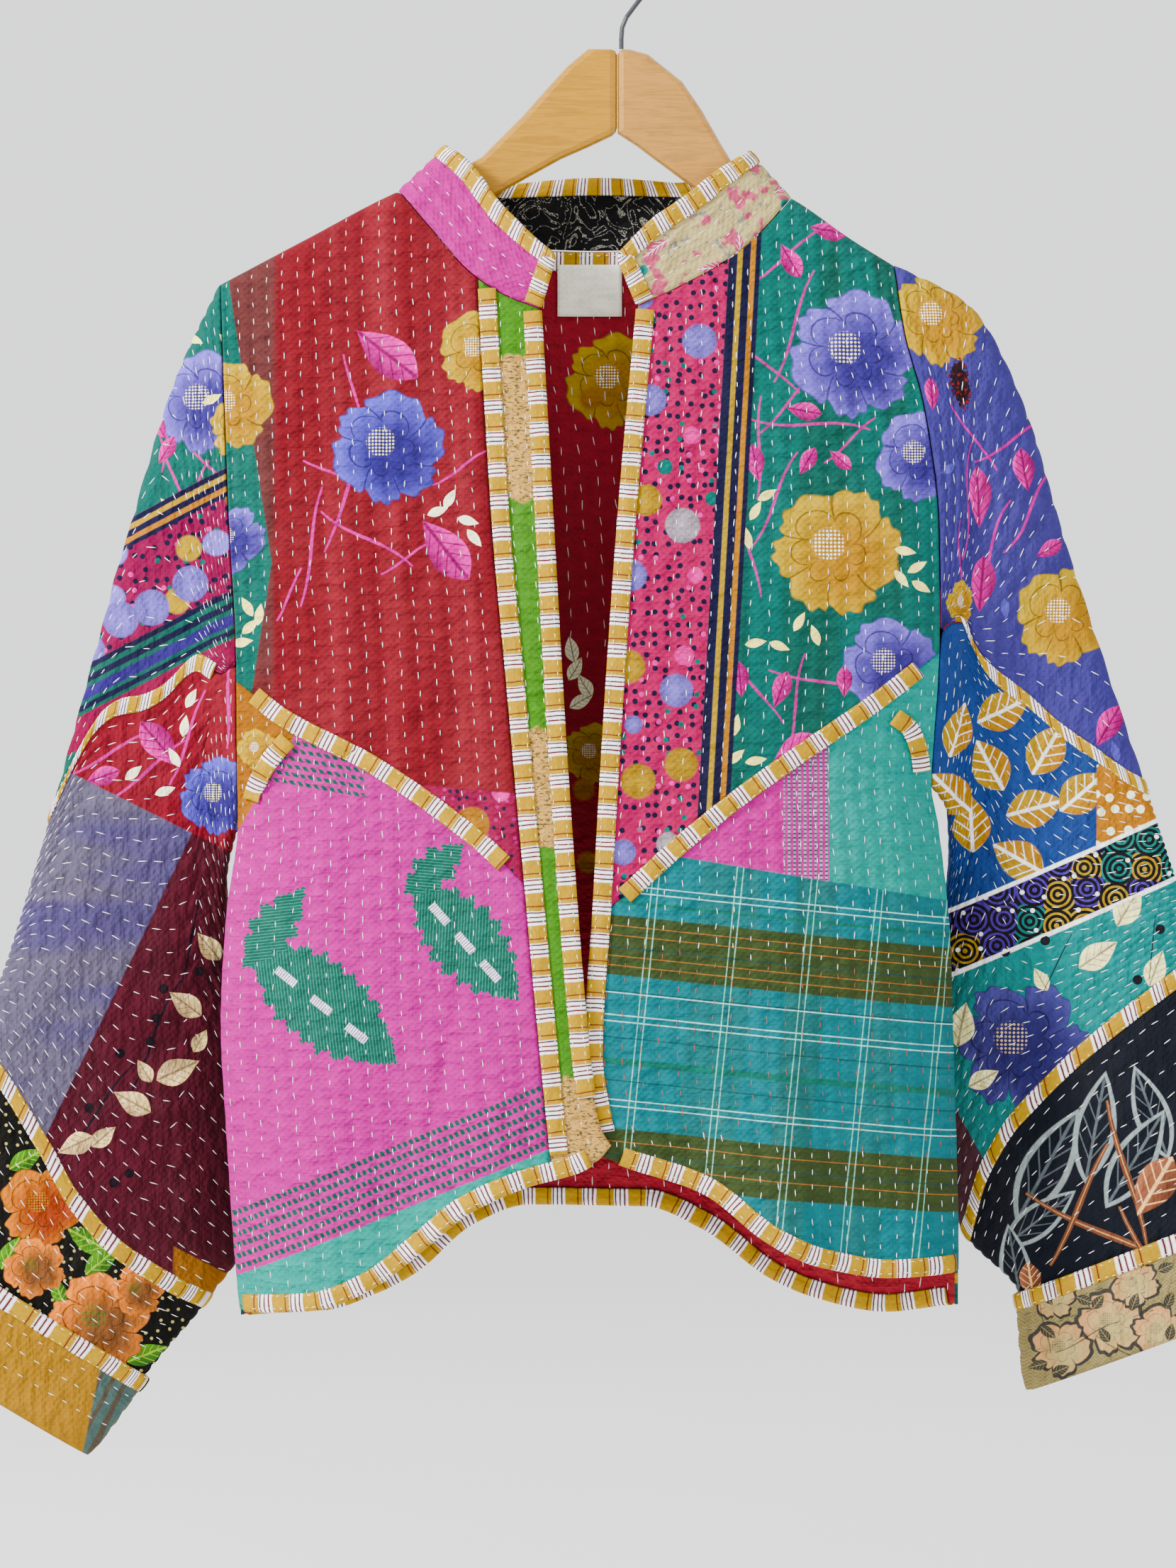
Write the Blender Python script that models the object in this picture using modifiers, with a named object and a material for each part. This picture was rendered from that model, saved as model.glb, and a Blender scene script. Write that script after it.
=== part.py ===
"""Kantha jacket on a plain wooden hanger.

Metres, +Z up. The jacket's front faces -Y and its right side in the view is +X.
The origin is the inside top of the hanger's hook, where it hangs.
"""

import math

import bpy
import bmesh
from mathutils import Vector

MM = 0.001

# Driving dimensions, in millimetres.
CLOTH = 2.0  # the quilted wall
SEAM_GAP = 0.3  # room between two pieces that meet
ROW_RAISE = 0.45  # how far the cloth stands up between rows of stitches
TAPE_WIDTH = 9.5
TAPE_UNDER = 1.0  # underside and top of a tape sewn on over a seam
TAPE_OVER = 1.9
EDGE_ROOM = 0.8  # room between a cloth edge and the tape folded over it
FOLDED_TAPE = 0.9  # thickness of the tape and label inside the neck
LAP = 5.5  # how far the left front lies over the right
COLLAR_HEIGHT = 41
COLLAR_FOOT = 0.6
COLLAR_CORNER = 12
NECK_LABEL = (-36, 2, -188, -218)  # left, right, top, bottom
NECK_TAPE_DROP = 11
HANGER_HALF_THICKNESS = 5.5
HANGER_EASED_EDGE = 4.2
HOOK_INSIDE_RADIUS = 19.0
WIRE_RADIUS = 1.4
ARM_OPEN = 8.0  # half opening of the armhole at which the body's side is fully open
ARMHOLE_SEAM = 1.5  # room between the armhole's two edges

# Shares of a sleeve's length.
CUFF_EDGE = 0.865
CUFF_FOLD = 0.9885
ARMHOLE_GAP = 0.0005
ARC_GAP = 0.0012
CAP_END = 0.004
GAP_SHARE = 0.0008  # gap between two parts of the collar, as a share of the neck seam

# Rows and columns of the walls.
PANEL_GRID = {  # columns, two for each row of stitches, then rows
    "front_left_upper": (36, 8), "front_left_lower": (36, 6), "placket": (6, 12),
    "front_right_upper": (36, 9), "front_right_lower": (40, 6), "back": (90, 10),
}
SLEEVE_ROWS = {"upper": 24, "middle": 20, "forearm": 12}
BODY_COARSE = 2  # the plain inside has one column for this many outside
SLEEVE_COARSE = 4
COLLAR_COLUMNS = 10
COLLAR_ROWS = 3
NEAR_RIDGE = (0, 2, 7, 20, 53, 104)  # first rows, measured down from the shoulder
SIDE_PLACES = (0, 0.07, 0.16, 0.27, 0.39, 0.51, 0.63)
INNER_PLACES = (0.75, 0.87, 1, 1.13, 1.25)
CAP_PLACES = [*SIDE_PLACES[::-1], *(-place for place in SIDE_PLACES[1:])]
RING_PLACES = [*SIDE_PLACES, *INNER_PLACES, *(2 - place for place in SIDE_PLACES[:0:-1])]
CUFF_ROWS = (  # g, outside, inside of the turned-back cuff, down to its fold
    (0.865, 3.3, 1.1), (0.93, 3.7, 1.1), (0.989, 3.5, 1),
    (0.991, 3.4, -2.2), (0.998, 2.6, -2.2), (1.005, 0.6, -1),
)
COLLAR_PARTS = (  # name, colour, share of the neck seam where it starts and ends
    ("collar_left", "cotton_pink", 0, 0.33), ("collar_back", "cotton_black", 0.33, 0.67),
    ("collar_right", "cotton_cream", 0.67, 1),
)

# Lengths in the tables are millimetres in the part's own frame.
SHOULDER_LINE = (  # x, z of the ridge over the hanger and across the neck
    (-232, -202), (-183, -176), (-129, -148), (-75, -128), (-14, -120),
    (50, -128), (101, -152), (136, -176), (160, -191),
)
SIDE_LEFT = (  # z, x of the body's left outline
    (-810, -220), (-768, -224), (-693, -229), (-633, -232), (-573, -229), (-516, -222),
    (-424, -222), (-343, -226), (-247, -230), (-202, -232),
)
SIDE_RIGHT = (  # z, x of the body's right outline
    (-810, 198), (-776, 198), (-649, 195), (-584, 193), (-518, 186), (-494, 182),
    (-409, 186), (-343, 185), (-277, 177), (-229, 165), (-191, 160),
)
FRONT_DEPTH = (  # distance under the ridge, depth of the front
    (0, 0), (2, 6.6), (7, 10), (20, 13), (60, 20), (120, 29), (220, 40), (350, 49),
    (480, 55), (700, 60),
)
BACK_DEPTH = (
    (0, 0), (2, 6.6), (7, 10), (20, 13), (60, 22), (120, 32), (220, 42), (350, 47),
    (480, 49), (700, 52),
)
FRONT_FOLDS = (  # centre x, half width, depth at the hem (+ outwards), z where it starts
    (-178, 26, 6, -560), (-126, 22, -5, -600), (-76, 26, 6, -520), (-40, 20, -2, -300),
    (40, 26, -5, -480), (92, 27, 8, -540), (142, 24, -5, -520), (176, 20, 3, -560),
)
BACK_FOLDS = (
    (-165, 28, 7, -480), (-110, 26, -6, -520), (-45, 30, 8, -440), (20, 28, -6, -500),
    (80, 28, 8, -460), (135, 26, -6, -520),
)
NECK_LEFT = ((-129, -148), (-108, -173), (-87, -197), (-66, -211), (-46, -219))
NECK_RIGHT = ((11, -217), (37, -205), (63, -190), (82, -174), (101, -152))
NECK_BACK = ((-129, -148), (-112, -166), (-80, -177), (-14, -181), (50, -177), (84, -167), (101, -152))
FRONT_EDGE_LEFT = (  # z, x
    (-702, -4), (-690, -11), (-649, -18), (-496, -30), (-343, -39), (-219, -46), (-188, -46),
)
FRONT_EDGE_RIGHT = (
    (-708, -10), (-649, -19), (-562, -14), (-474, -9), (-343, 0), (-217, 11), (-188, 11),
)
PLACKET_SEAM = ((-730, -37), (-649, -45), (-431, -65), (-343, -73), (-197, -82))
SEAM_LEFT = ((-250, -421), (-220, -436), (-195, -455), (-142, -483), (-80, -527), (-40, -566))
SEAM_RIGHT = ((-20, -574), (-2, -562), (35, -529), (74, -498), (114, -470), (149, -446), (200, -406))
UNDERARM_LEFT = ((-191, -468), (-203, -482), (-210, -495), (-213, -503))
UNDERARM_RIGHT = ((159, -455), (168, -462), (173, -474), (175, -486))
HEM_FRONT_LEFT = (
    (-240, -800), (-219, -800), (-175, -796), (-142, -783), (-109, -757), (-87, -739),
    (-54, -724), (-25, -716), (-12, -709), (-4, -700),
)
HEM_FRONT_RIGHT = (
    (-14, -706), (2, -712), (48, -728), (87, -757), (118, -771), (157, -778), (198, -777), (220, -777),
)
HEM_BACK = (
    (-240, -804), (-175, -804), (-142, -794), (-120, -782), (-87, -754), (-54, -743), (15, -743),
    (48, -756), (92, -787), (118, -797), (157, -804), (198, -798), (220, -798),
)
# g runs along the sleeve, O is its outer edge and I its inner edge.
SLEEVE_LEFT = (  # g, Ox, Oz, Ix, Iz, outer y, inner y, half thickness
    (0.00, -232, -202, -222, -516, 0, 0, 24),
    (0.16, -258, -258, -231, -556, 0, 26, 24),
    (0.30, -295, -380, -226, -625, 4, 46, 21),
    (0.45, -332, -512, -216, -690, 10, 58, 18),
    (0.58, -361, -606, -220, -759, 14, 60, 16),
    (0.72, -392, -682, -244, -800, 16, 50, 15),
    (0.86, -429, -749, -283, -845, 18, 40, 14),
    (1.00, -460, -797, -315, -889, 20, 34, 14),
)
SLEEVE_RIGHT = (
    (0.00, 160, -191, 181, -494, 0, 0, 24),
    (0.09, 205, -216, 193, -512, 0, 17, 25),
    (0.18, 234, -269, 195, -540, 0, 32, 25),
    (0.32, 262, -358, 190, -592, 4, 52, 21),
    (0.45, 308, -496, 187, -665, 10, 60, 18),
    (0.58, 334, -575, 189, -715, 14, 62, 16),
    (0.72, 358, -650, 206, -761, 16, 52, 15),
    (0.86, 390, -735, 238, -798, 18, 42, 14),
    (1.00, 404, -790, 243, -852, 20, 36, 14),
)
ARC_LEFT = (  # across from the outer edge, g of the seam
    (0, 0.45), (0.04, 0.40), (0.10, 0.36), (0.27, 0.30), (0.41, 0.24), (0.67, 0.07), (0.71, 0.0), (1, 0.0),
)
ARC_RIGHT = (
    (0, 0.45), (0.12, 0.41), (0.26, 0.365), (0.40, 0.30), (0.57, 0.18), (0.67, 0.03), (0.70, 0.006),
    (0.74, 0.0), (1, 0.0),
)
SLANT_LEFT = ((0, 0.65), (0.12, 0.66), (0.33, 0.69), (0.5, 0.72), (0.7, 0.735), (0.88, 0.73), (1, 0.72))
SLANT_RIGHT = ((0, 0.62), (0.45, 0.61), (0.7, 0.62), (0.85, 0.65), (1, 0.72))
COLLAR_TOP = (  # way round from the left front end, top edge's dx, dy, dz from the seam
    (0.00, 9, -3, 31), (0.08, 18, -2, 37), (0.16, 24, 0, 36), (0.24, 28, 1, 26), (0.30, 24, 5, 30),
    (0.50, 2, 9, 43), (0.70, -24, 5, 31), (0.76, -25, 1, 27), (0.84, -25, 0, 36), (0.92, -21, -2, 37),
    (1.00, -12, -3, 29),
)
WOOD_LEFT = (
    (-1, -65), (-18, -65), (-30, -75), (-41, -87), (-56, -104), (-80, -128), (-129, -155),
    (-150, -162.5), (-165, -170.4), (-180, -178.2), (-195, -186.5), (-205, -193), (-218, -202), (-224, -208),
    (-224, -215), (-216, -219), (-183, -206), (-129, -182), (-63, -145), (-34, -129), (-18, -122),
    (-1, -114),
)
WOOD_RIGHT = (
    (-0.7, -65), (6, -65), (17, -68), (37, -84), (48, -100), (60, -121), (74, -144), (101, -164),
    (118, -168), (128, -174), (138, -181), (160, -198), (171, -204), (202, -222), (208, -229), (206, -237),
    (198, -240), (160, -222), (101, -187), (37, -141), (10, -121), (-0.7, -114),
)

COLOURS = {
    "cotton_red": (0.38, 0.02, 0.03), "cotton_pink": (0.73, 0.14, 0.46),
    "cotton_green": (0.16, 0.39, 0.03), "cotton_teal": (0.01, 0.20, 0.17),
    "cotton_turquoise": (0.02, 0.38, 0.41), "cotton_black": (0.01, 0.01, 0.01),
    "cotton_maroon": (0.16, 0.01, 0.02), "cotton_violet": (0.09, 0.12, 0.40),
    "cotton_blue": (0.02, 0.12, 0.39), "cotton_navy": (0.01, 0.015, 0.025),
    "cotton_cream": (0.62, 0.55, 0.38), "cotton_ochre": (0.52, 0.27, 0.05),
    "binding": (0.90, 0.60, 0.01), "wood": (0.55, 0.30, 0.12), "steel": (0.55, 0.55, 0.56),
}
ROUGHNESS = {"steel": 0.3, "wood": 0.45}
CLOTH_ROUGHNESS = 0.9


def smooth(table, key, column=1):
    """Value of a table at a key, along a curve through its rows that never overshoots them."""
    if table[0][0] > table[-1][0]:
        table = table[::-1]
    if key <= table[0][0]:
        return table[0][column]
    if key >= table[-1][0]:
        return table[-1][column]
    n = 0
    while key > table[n + 1][0]:
        n += 1

    def slope(m):
        return (table[m + 1][column] - table[m][column]) / (table[m + 1][0] - table[m][0])

    def tangent(m):
        if m == 0 or m == len(table) - 1:
            return slope(min(m, len(table) - 2))
        before, after = slope(m - 1), slope(m)
        return 0 if before * after <= 0 else 2 * before * after / (before + after)

    span = table[n + 1][0] - table[n][0]
    t = (key - table[n][0]) / span
    start, end = table[n][column], table[n + 1][column]
    return (
        start * (1 + 2 * t) * (1 - t) ** 2 + end * t * t * (3 - 2 * t)
        + span * (tangent(n) * t * (1 - t) ** 2 - tangent(n + 1) * t * t * (1 - t))
    )


def ease(value):
    value = min(max(value, 0), 1)
    return value * value * (3 - 2 * value)


def mix(a, b, t):
    return a + (b - a) * t


def even_rows(half_width=208, depth=48, count=240):
    """Rows of (share of the way across, u) that are evenly spaced over a body section's cloth."""
    points = []
    for n in range(count + 1):
        u = math.sin(math.pi * (n / count - 0.5))
        points.append((u, half_width * u, depth * bulge(u)))
    lengths = [0]
    for before, after in zip(points, points[1:]):
        lengths.append(lengths[-1] + math.hypot(after[1] - before[1], after[2] - before[2]))
    return [(2 * length / lengths[-1] - 1, point[0]) for length, point in zip(lengths, points)]


def bulge(u, opened=0):
    """How far a body section stands out at u: 1 in the middle, 0 at its closed or opened sides."""
    return mix(math.sqrt(max(0, 1 - abs(u) ** 2.4)), 1 - abs(u) ** 4, opened)


def section(f):
    """How far a flattened tube stands out at the share f of its width."""
    return math.sin(math.pi * f) ** 0.4


def between(rows, key, source=0, value=1):
    """Straight interpolation in rows that rise in both columns."""
    low, high = 0, len(rows) - 1
    while high - low > 1:
        middle = (low + high) // 2
        if rows[middle][source] <= key:
            low = middle
        else:
            high = middle
    span = rows[high][source] - rows[low][source]
    t = min(max((key - rows[low][source]) / span, 0), 1)
    return mix(rows[low][value], rows[high][value], t)


EVEN = even_rows()


def body_middle(z):
    left, right = smooth(SIDE_LEFT, z), smooth(SIDE_RIGHT, z)
    return (left + right) / 2, (right - left) / 2


def body_x(share, z):
    middle, half = body_middle(z)
    return middle + half * between(EVEN, share)


def body_share(x, z):
    middle, half = body_middle(z)
    return between(EVEN, min(max((x - middle) / half, -1), 1), 1, 0)


def arm_depth(u, under_ridge):
    """Half the armhole's opening front to back, closing at the shoulder and under the arm."""
    table = SLEEVE_LEFT if u < 0 else SLEEVE_RIGHT
    q = min(under_ridge / (table[0][2] - table[0][4]), 1)
    return max(table[0][7] * section(q), SEAM_GAP / 2)


def body(x, z, side, lapped=False):
    """The jacket's outside at x and z, on its front (side -1) or its back (side 1)."""
    middle, half = body_middle(z)
    u = min(max((x - middle) / half, -1), 1)
    x = middle + half * u
    under_ridge = max(smooth(SHOULDER_LINE, x) - z, 0)
    arm = arm_depth(u, under_ridge)
    depth = max(smooth(FRONT_DEPTH if side < 0 else BACK_DEPTH, under_ridge), arm)
    out = arm + (depth - arm) * bulge(u, ease(arm / ARM_OPEN))
    for centre, width, height, start in FRONT_FOLDS if side < 0 else BACK_FOLDS:
        grown = ease((start - z) / (start + 790))
        out += height * grown * math.exp(-(((x - centre) / width) ** 2)) * bulge(u)
    if lapped:
        out += LAP * ease((-440 - z) / 130) * ease((x + 100) / 60)
    return Vector((x, side * out, z))


def body_wall(x, z, side, offset, lapped=False):
    """A point of the body's cloth, moved out from its outside by offset."""
    step = 0.6
    across = body(x + step, z, side, lapped) - body(x - step, z, side, lapped)
    up = body(x, z + step, side, lapped) - body(x, z - step, side, lapped)
    normal = across.cross(up).normalized() * -side
    place = body(x, z, side, lapped) + normal * offset
    if offset <= 0:
        place.y = side * max(side * place.y, SEAM_GAP / 2)
    return place


class Sleeve:
    """A flattened tube: w goes round it (front 0 to 1, back 1 to 2) and g runs down it."""

    def __init__(self, table, armhole, outwards):
        self.table = table
        self.armhole = armhole
        self.outwards = outwards

    def flat(self, f, g, side):
        row = [smooth(self.table, g, column) for column in range(1, 8)]
        y = mix(row[4], row[5], f) + side * row[6] * section(f)
        return Vector((mix(row[0], row[2], f), y, mix(row[1], row[3], f)))

    def point(self, w, g):
        w %= 2
        side = -1 if w <= 1 else 1
        f = (1 - math.cos(math.pi * (w if w <= 1 else 2 - w))) / 2
        f = min(max(f, 0), 1)
        z = mix(self.table[0][2], self.table[0][4], f)
        seam = body(smooth(self.armhole, z), z, side)
        if f in (0, 1):
            seam.y = 0
        place = self.flat(f, g, side) + (seam - self.flat(f, 0, side)) * (1 - ease(g / 0.14))
        place.x += self.outwards * ARMHOLE_SEAM
        return place

    def wall(self, w, g, offset):
        step_w, step_g = 0.01, 0.004
        around = self.point(w + step_w, g) - self.point(w - step_w, g)
        along = self.point(w, g + step_g) - self.point(w, max(g - step_g, 0))
        normal = around.cross(along).normalized() * self.outwards
        return self.point(w, g) + normal * offset

    def speed(self, w, g):
        """Millimetres along the sleeve for each unit of g."""
        return (self.point(w, g + 0.01) - self.point(w, g - 0.01)).length / 0.02


def across_share(w):
    """Share of the way from the sleeve's outer edge to its inner edge."""
    w %= 2
    return (1 - math.cos(math.pi * (w if w <= 1 else 2 - w))) / 2


NECK_PARTS = ((NECK_LEFT[::-1], -1), (NECK_BACK, 1), (NECK_RIGHT[::-1], -1))


def neck_rows():
    """Rows of (millimetres from the left front end, x, y, z) along the neck seam."""
    places = []
    for table, side in NECK_PARTS:
        rising = sorted(table)
        count = 14
        for n in range(count + 1):
            x = mix(table[0][0], table[-1][0], n / count)
            place = body(x, smooth(rising, x), side)
            if abs(x - rising[0][0]) < 1e-6 and side > 0 or abs(x - rising[-1][0]) < 1e-6 and side > 0:
                place.y = 0
            if not places or (place - places[-1]).length > 1:
                places.append(place)
    rows = [(0, *places[0])]
    for before, after in zip(places, places[1:]):
        rows.append((rows[-1][0] + (after - before).length, *after))
    return rows


NECK = neck_rows()
NECK_LENGTH = NECK[-1][0]


def collar(along, up):
    """The stand collar's outside, in millimetres along the neck seam and up from it."""
    base = Vector([smooth(NECK, along, column) for column in (1, 2, 3)])
    lean = Vector([smooth(COLLAR_TOP, along / NECK_LENGTH, column) for column in (1, 2, 3)])
    h = up / COLLAR_HEIGHT
    return base + lean * h


def collar_wall(along, up, offset):
    step = 1.0
    low, high = max(along - step, 0), min(along + step, NECK_LENGTH)
    way = collar(high, up) - collar(low, up)
    rise = collar(along, up + step) - collar(along, up - step)
    return collar(along, up) + rise.cross(way).normalized() * offset


def named_object(name, colour, mesh):
    """A piece with a material of its own, under the hook."""
    material = bpy.data.materials.new(name)
    material.use_nodes = True
    shader = material.node_tree.nodes["Principled BSDF"]
    shader.inputs["Base Color"].default_value = (*COLOURS[colour], 1)
    shader.inputs["Roughness"].default_value = ROUGHNESS.get(colour, CLOTH_ROUGHNESS)
    shader.inputs["Metallic"].default_value = 1.0 if colour == "steel" else 0.0
    mesh.materials.append(material)
    piece = bpy.data.objects.new(name, mesh)
    jacket.objects.link(piece)
    piece.parent = hook_mount
    return piece


def finish_mesh(name, colour, shape):
    bmesh.ops.recalc_face_normals(shape, faces=shape.faces)
    mesh = bpy.data.meshes.new(name)
    shape.to_mesh(mesh)
    shape.free()
    return named_object(name, colour, mesh)


def cloth_wall(name, colour, point, columns, rows, coarse=(1, 1), closed=False, raised=None, thick=CLOTH):
    """A closed wall: its outside on every row and column, its plain inside on every coarse one."""
    shape = bmesh.new()
    step_c, step_r = coarse
    across = columns if closed else columns + 1
    raised = raised or (lambda i, j: 0)
    outer = [
        [shape.verts.new(point(i, j, raised(i, j)) * MM) for j in range(rows + 1)] for i in range(across)
    ]
    inner = {
        (i, j): shape.verts.new(point(i, j, -thick) * MM)
        for i in range(0, across, step_c)
        for j in range(0, rows + 1, step_r)
    }
    for i in range(columns):
        after = (i + 1) % across
        for j in range(rows):
            shape.faces.new((outer[i][j], outer[after][j], outer[after][j + 1], outer[i][j + 1]))
    for i in range(0, columns, step_c):
        after = (i + step_c) % across if closed else i + step_c
        for j in range(0, rows, step_r):
            corners = inner[i, j], inner[i, j + step_r], inner[after, j + step_r], inner[after, j]
            shape.faces.new(corners)
        for j in (0, rows):
            chain = [outer[(i + n) % across][j] for n in range(step_c + 1)]
            shape.faces.new((*chain, inner[after, j], inner[i, j]))
    if not closed:
        for i in (0, columns):
            for j in range(0, rows, step_r):
                chain = [outer[i][j + n] for n in range(step_r + 1)]
                shape.faces.new((*chain, inner[i, j + step_r], inner[i, j]))
    bmesh.ops.triangulate(shape, faces=shape.faces[:], ngon_method="EAR_CLIP")
    return finish_mesh(name, colour, shape)


def tape(name, colour, point, profile, count, closed=False):
    """A strip with the given profile of (across, offset) points, swept along point(t, across, offset)."""
    shape = bmesh.new()
    turns = count if closed else count + 1
    loops = [
        [shape.verts.new(point(n / count, across, offset) * MM) for across, offset in profile]
        for n in range(turns)
    ]
    sides = len(profile)
    for n in range(count):
        here, there = loops[n], loops[(n + 1) % turns]
        for k in range(sides):
            after = (k + 1) % sides
            shape.faces.new((here[k], here[after], there[after], there[k]))
    if not closed:
        shape.faces.new(loops[0])
        shape.faces.new(loops[-1])
    return finish_mesh(name, colour, shape)


def row_raise(i, j):
    """Cloth stands up between two rows of stitches and is drawn in along each."""
    return ROW_RAISE if i % 2 else 0


def ring_raise(i, j):
    return ROW_RAISE if j % 2 else 0


def body_panel(name, colour, side, left, right, top, bottom, near=(), lapped=False):
    """A panel between left(z), right(z), top(x) and bottom(x), with rows of stitches down it."""
    columns, rows = PANEL_GRID[name]

    def point(i, j, offset):
        share = i / columns
        x = mix(left(-450), right(-450), share)
        for _ in range(30):
            height = top(x) - bottom(x)
            if j < len(near):
                down = near[j]
            else:
                last = near[-1] if near else 0
                start = len(near) - 1 if near else 0
                down = last + (height - last) * (j - start) / (rows - start)
            z = top(x) - down
            ends = body_share(left(z), z), body_share(right(z), z)
            x = (x + body_x(mix(*ends, share), z)) / 2
        return body_wall(x, z, side, offset, lapped)

    return cloth_wall(name, colour, point, columns, rows, (BODY_COARSE, 1), raised=row_raise)


def top_of_front(neck, left_shoulder):
    """The height of a front's top edge at x: the neck seam, then the shoulder ridge."""
    end = neck[0][0] if left_shoulder else neck[-1][0]

    def top(x):
        on_shoulder = x < end if left_shoulder else x > end
        return smooth(SHOULDER_LINE if on_shoulder else neck, x)

    return top


def top_of_back(x):
    inside = NECK_BACK[0][0] < x < NECK_BACK[-1][0]
    return smooth(NECK_BACK if inside else SHOULDER_LINE, x)


def build_body():
    half = SEAM_GAP / 2
    placket_x = lambda z: smooth(PLACKET_SEAM, z)
    body_panel(
        "front_left_upper", "cotton_red", -1, lambda z: smooth(SIDE_LEFT, z),
        lambda z: placket_x(z) - 2 * half, top_of_front(NECK_LEFT, True),
        lambda x: smooth(SEAM_LEFT, x) + half, NEAR_RIDGE, True,
    )
    body_panel(
        "front_left_lower", "cotton_pink", -1, lambda z: smooth(SIDE_LEFT, z),
        lambda z: placket_x(z) - 2 * half, lambda x: smooth(SEAM_LEFT, x) - half,
        lambda x: smooth(HEM_FRONT_LEFT, x), (), True,
    )
    body_panel(
        "placket", "cotton_green", -1, lambda z: placket_x(z) + half,
        lambda z: smooth(FRONT_EDGE_LEFT, z), lambda x: smooth(NECK_LEFT, x),
        lambda x: smooth(HEM_FRONT_LEFT, x), (), True,
    )
    body_panel(
        "front_right_upper", "cotton_teal", -1, lambda z: smooth(FRONT_EDGE_RIGHT, z),
        lambda z: smooth(SIDE_RIGHT, z), top_of_front(NECK_RIGHT, False),
        lambda x: smooth(SEAM_RIGHT, x) + half, NEAR_RIDGE,
    )
    body_panel(
        "front_right_lower", "cotton_turquoise", -1, lambda z: smooth(FRONT_EDGE_RIGHT, z),
        lambda z: smooth(SIDE_RIGHT, z), lambda x: smooth(SEAM_RIGHT, x) - half,
        lambda x: smooth(HEM_FRONT_RIGHT, x),
    )
    body_panel(
        "back", "cotton_maroon", 1, lambda z: smooth(SIDE_LEFT, z),
        lambda z: smooth(SIDE_RIGHT, z), top_of_back,
        lambda x: smooth(HEM_BACK, x), NEAR_RIDGE,
    )


def collar_places(part):
    """Places along the neck seam of the columns of one of the collar's three parts."""
    start, end = COLLAR_PARTS[part][2:]
    shares = [mix(start + GAP_SHARE, end - GAP_SHARE, n / COLLAR_COLUMNS) for n in range(COLLAR_COLUMNS + 1)]
    return [share * NECK_LENGTH for share in shares]


def build_collar():
    for part, (name, colour, start, end) in enumerate(COLLAR_PARTS):
        places = collar_places(part)

        def point(i, j, offset):
            return collar_wall(places[i], mix(COLLAR_FOOT, COLLAR_HEIGHT, j / COLLAR_ROWS), offset)

        cloth_wall(name, colour, point, COLLAR_COLUMNS, COLLAR_ROWS)


def along_table(points):
    """Rows of (length so far, first, second) along points given in pairs."""
    rows = [(0, *points[0])]
    for before, after in zip(points, points[1:]):
        rows.append((rows[-1][0] + math.hypot(after[0] - before[0], after[1] - before[1]), *after))
    return rows


def path_frame(rows, t):
    """Place and unit direction at the share t of a path's length."""
    length = rows[-1][0] * t
    low, high = max(length - 1, 0), min(length + 1, rows[-1][0])
    step = [smooth(rows, high, c) - smooth(rows, low, c) for c in (1, 2)]
    size = math.hypot(*step)
    return [smooth(rows, length, c) for c in (1, 2)], [step[0] / size, step[1] / size]


def flat_profile(lift=0):
    half = TAPE_WIDTH / 2
    under, over = TAPE_UNDER + lift, TAPE_OVER + lift
    return ((-half, under), (half, under), (half, over), (-half, over))


def edge_profile():
    """Tape folded over an edge, which lies at across 0."""
    inside = -CLOTH - 2 * SEAM_GAP
    lined = TAPE_OVER - TAPE_UNDER
    return (
        (TAPE_WIDTH, TAPE_UNDER), (TAPE_WIDTH, TAPE_OVER), (-EDGE_ROOM - lined, TAPE_OVER),
        (-EDGE_ROOM - lined, inside - lined), (TAPE_WIDTH, inside - lined), (TAPE_WIDTH, inside),
        (-EDGE_ROOM, inside), (-EDGE_ROOM, TAPE_UNDER),
    )


def body_tape(name, points, side, profile, count, turn=1, lapped=False):
    rows = along_table(points)

    def point(t, across, offset):
        place, way = path_frame(rows, t)
        x = place[0] - way[1] * across * turn
        z = place[1] + way[0] * across * turn
        return body_wall(x, z, side, offset, lapped)

    tape(name, "binding", point, profile, count)


def cut(points, first, last):
    """Points of a path from first to last along its first column."""
    inside = [point for point in points if first < point[0] < last]
    ends = [(x, smooth(points, x)) for x in (first, last)]
    return [ends[0], *inside, ends[1]]


def down_path(table, top, bottom, aside=0):
    """Points x, z down a table of (z, x) from top to bottom, moved aside in x."""
    heights = [top, *sorted((z for z, x in table if bottom < z < top), reverse=True), bottom]
    return [(smooth(table, z) + aside, z) for z in heights]


def build_body_tapes():
    flat, edge = flat_profile(), edge_profile()
    body_tape("binding_seam_left", cut(SEAM_LEFT, -209, -67), -1, flat_profile(0.3), 18, lapped=True)
    body_tape("binding_seam_right", cut(SEAM_RIGHT, 4, 172), -1, flat_profile(0.5), 20)
    placket = down_path(PLACKET_SEAM, -209, -704, TAPE_WIDTH / 2)
    body_tape("binding_placket", placket, -1, flat, 12, lapped=True)
    body_tape("binding_front_left", down_path(FRONT_EDGE_LEFT, -221, -672), -1, edge, 12, -1, True)
    body_tape("binding_front_right", down_path(FRONT_EDGE_RIGHT, -220, -692), -1, edge, 12)
    body_tape("binding_hem_left", cut(HEM_FRONT_LEFT, -216, -17), -1, edge, 22, lapped=True)
    body_tape("binding_hem_right", cut(HEM_FRONT_RIGHT, 1, 194), -1, edge, 22)
    body_tape("binding_hem_back", cut(HEM_BACK, -216, 194), 1, edge, 39)
    lifted = flat_profile(1.2)
    body_tape("binding_underarm_left", UNDERARM_LEFT, -1, lifted, 8, lapped=True)
    body_tape("binding_underarm_right", UNDERARM_RIGHT, -1, lifted, 6)


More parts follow.
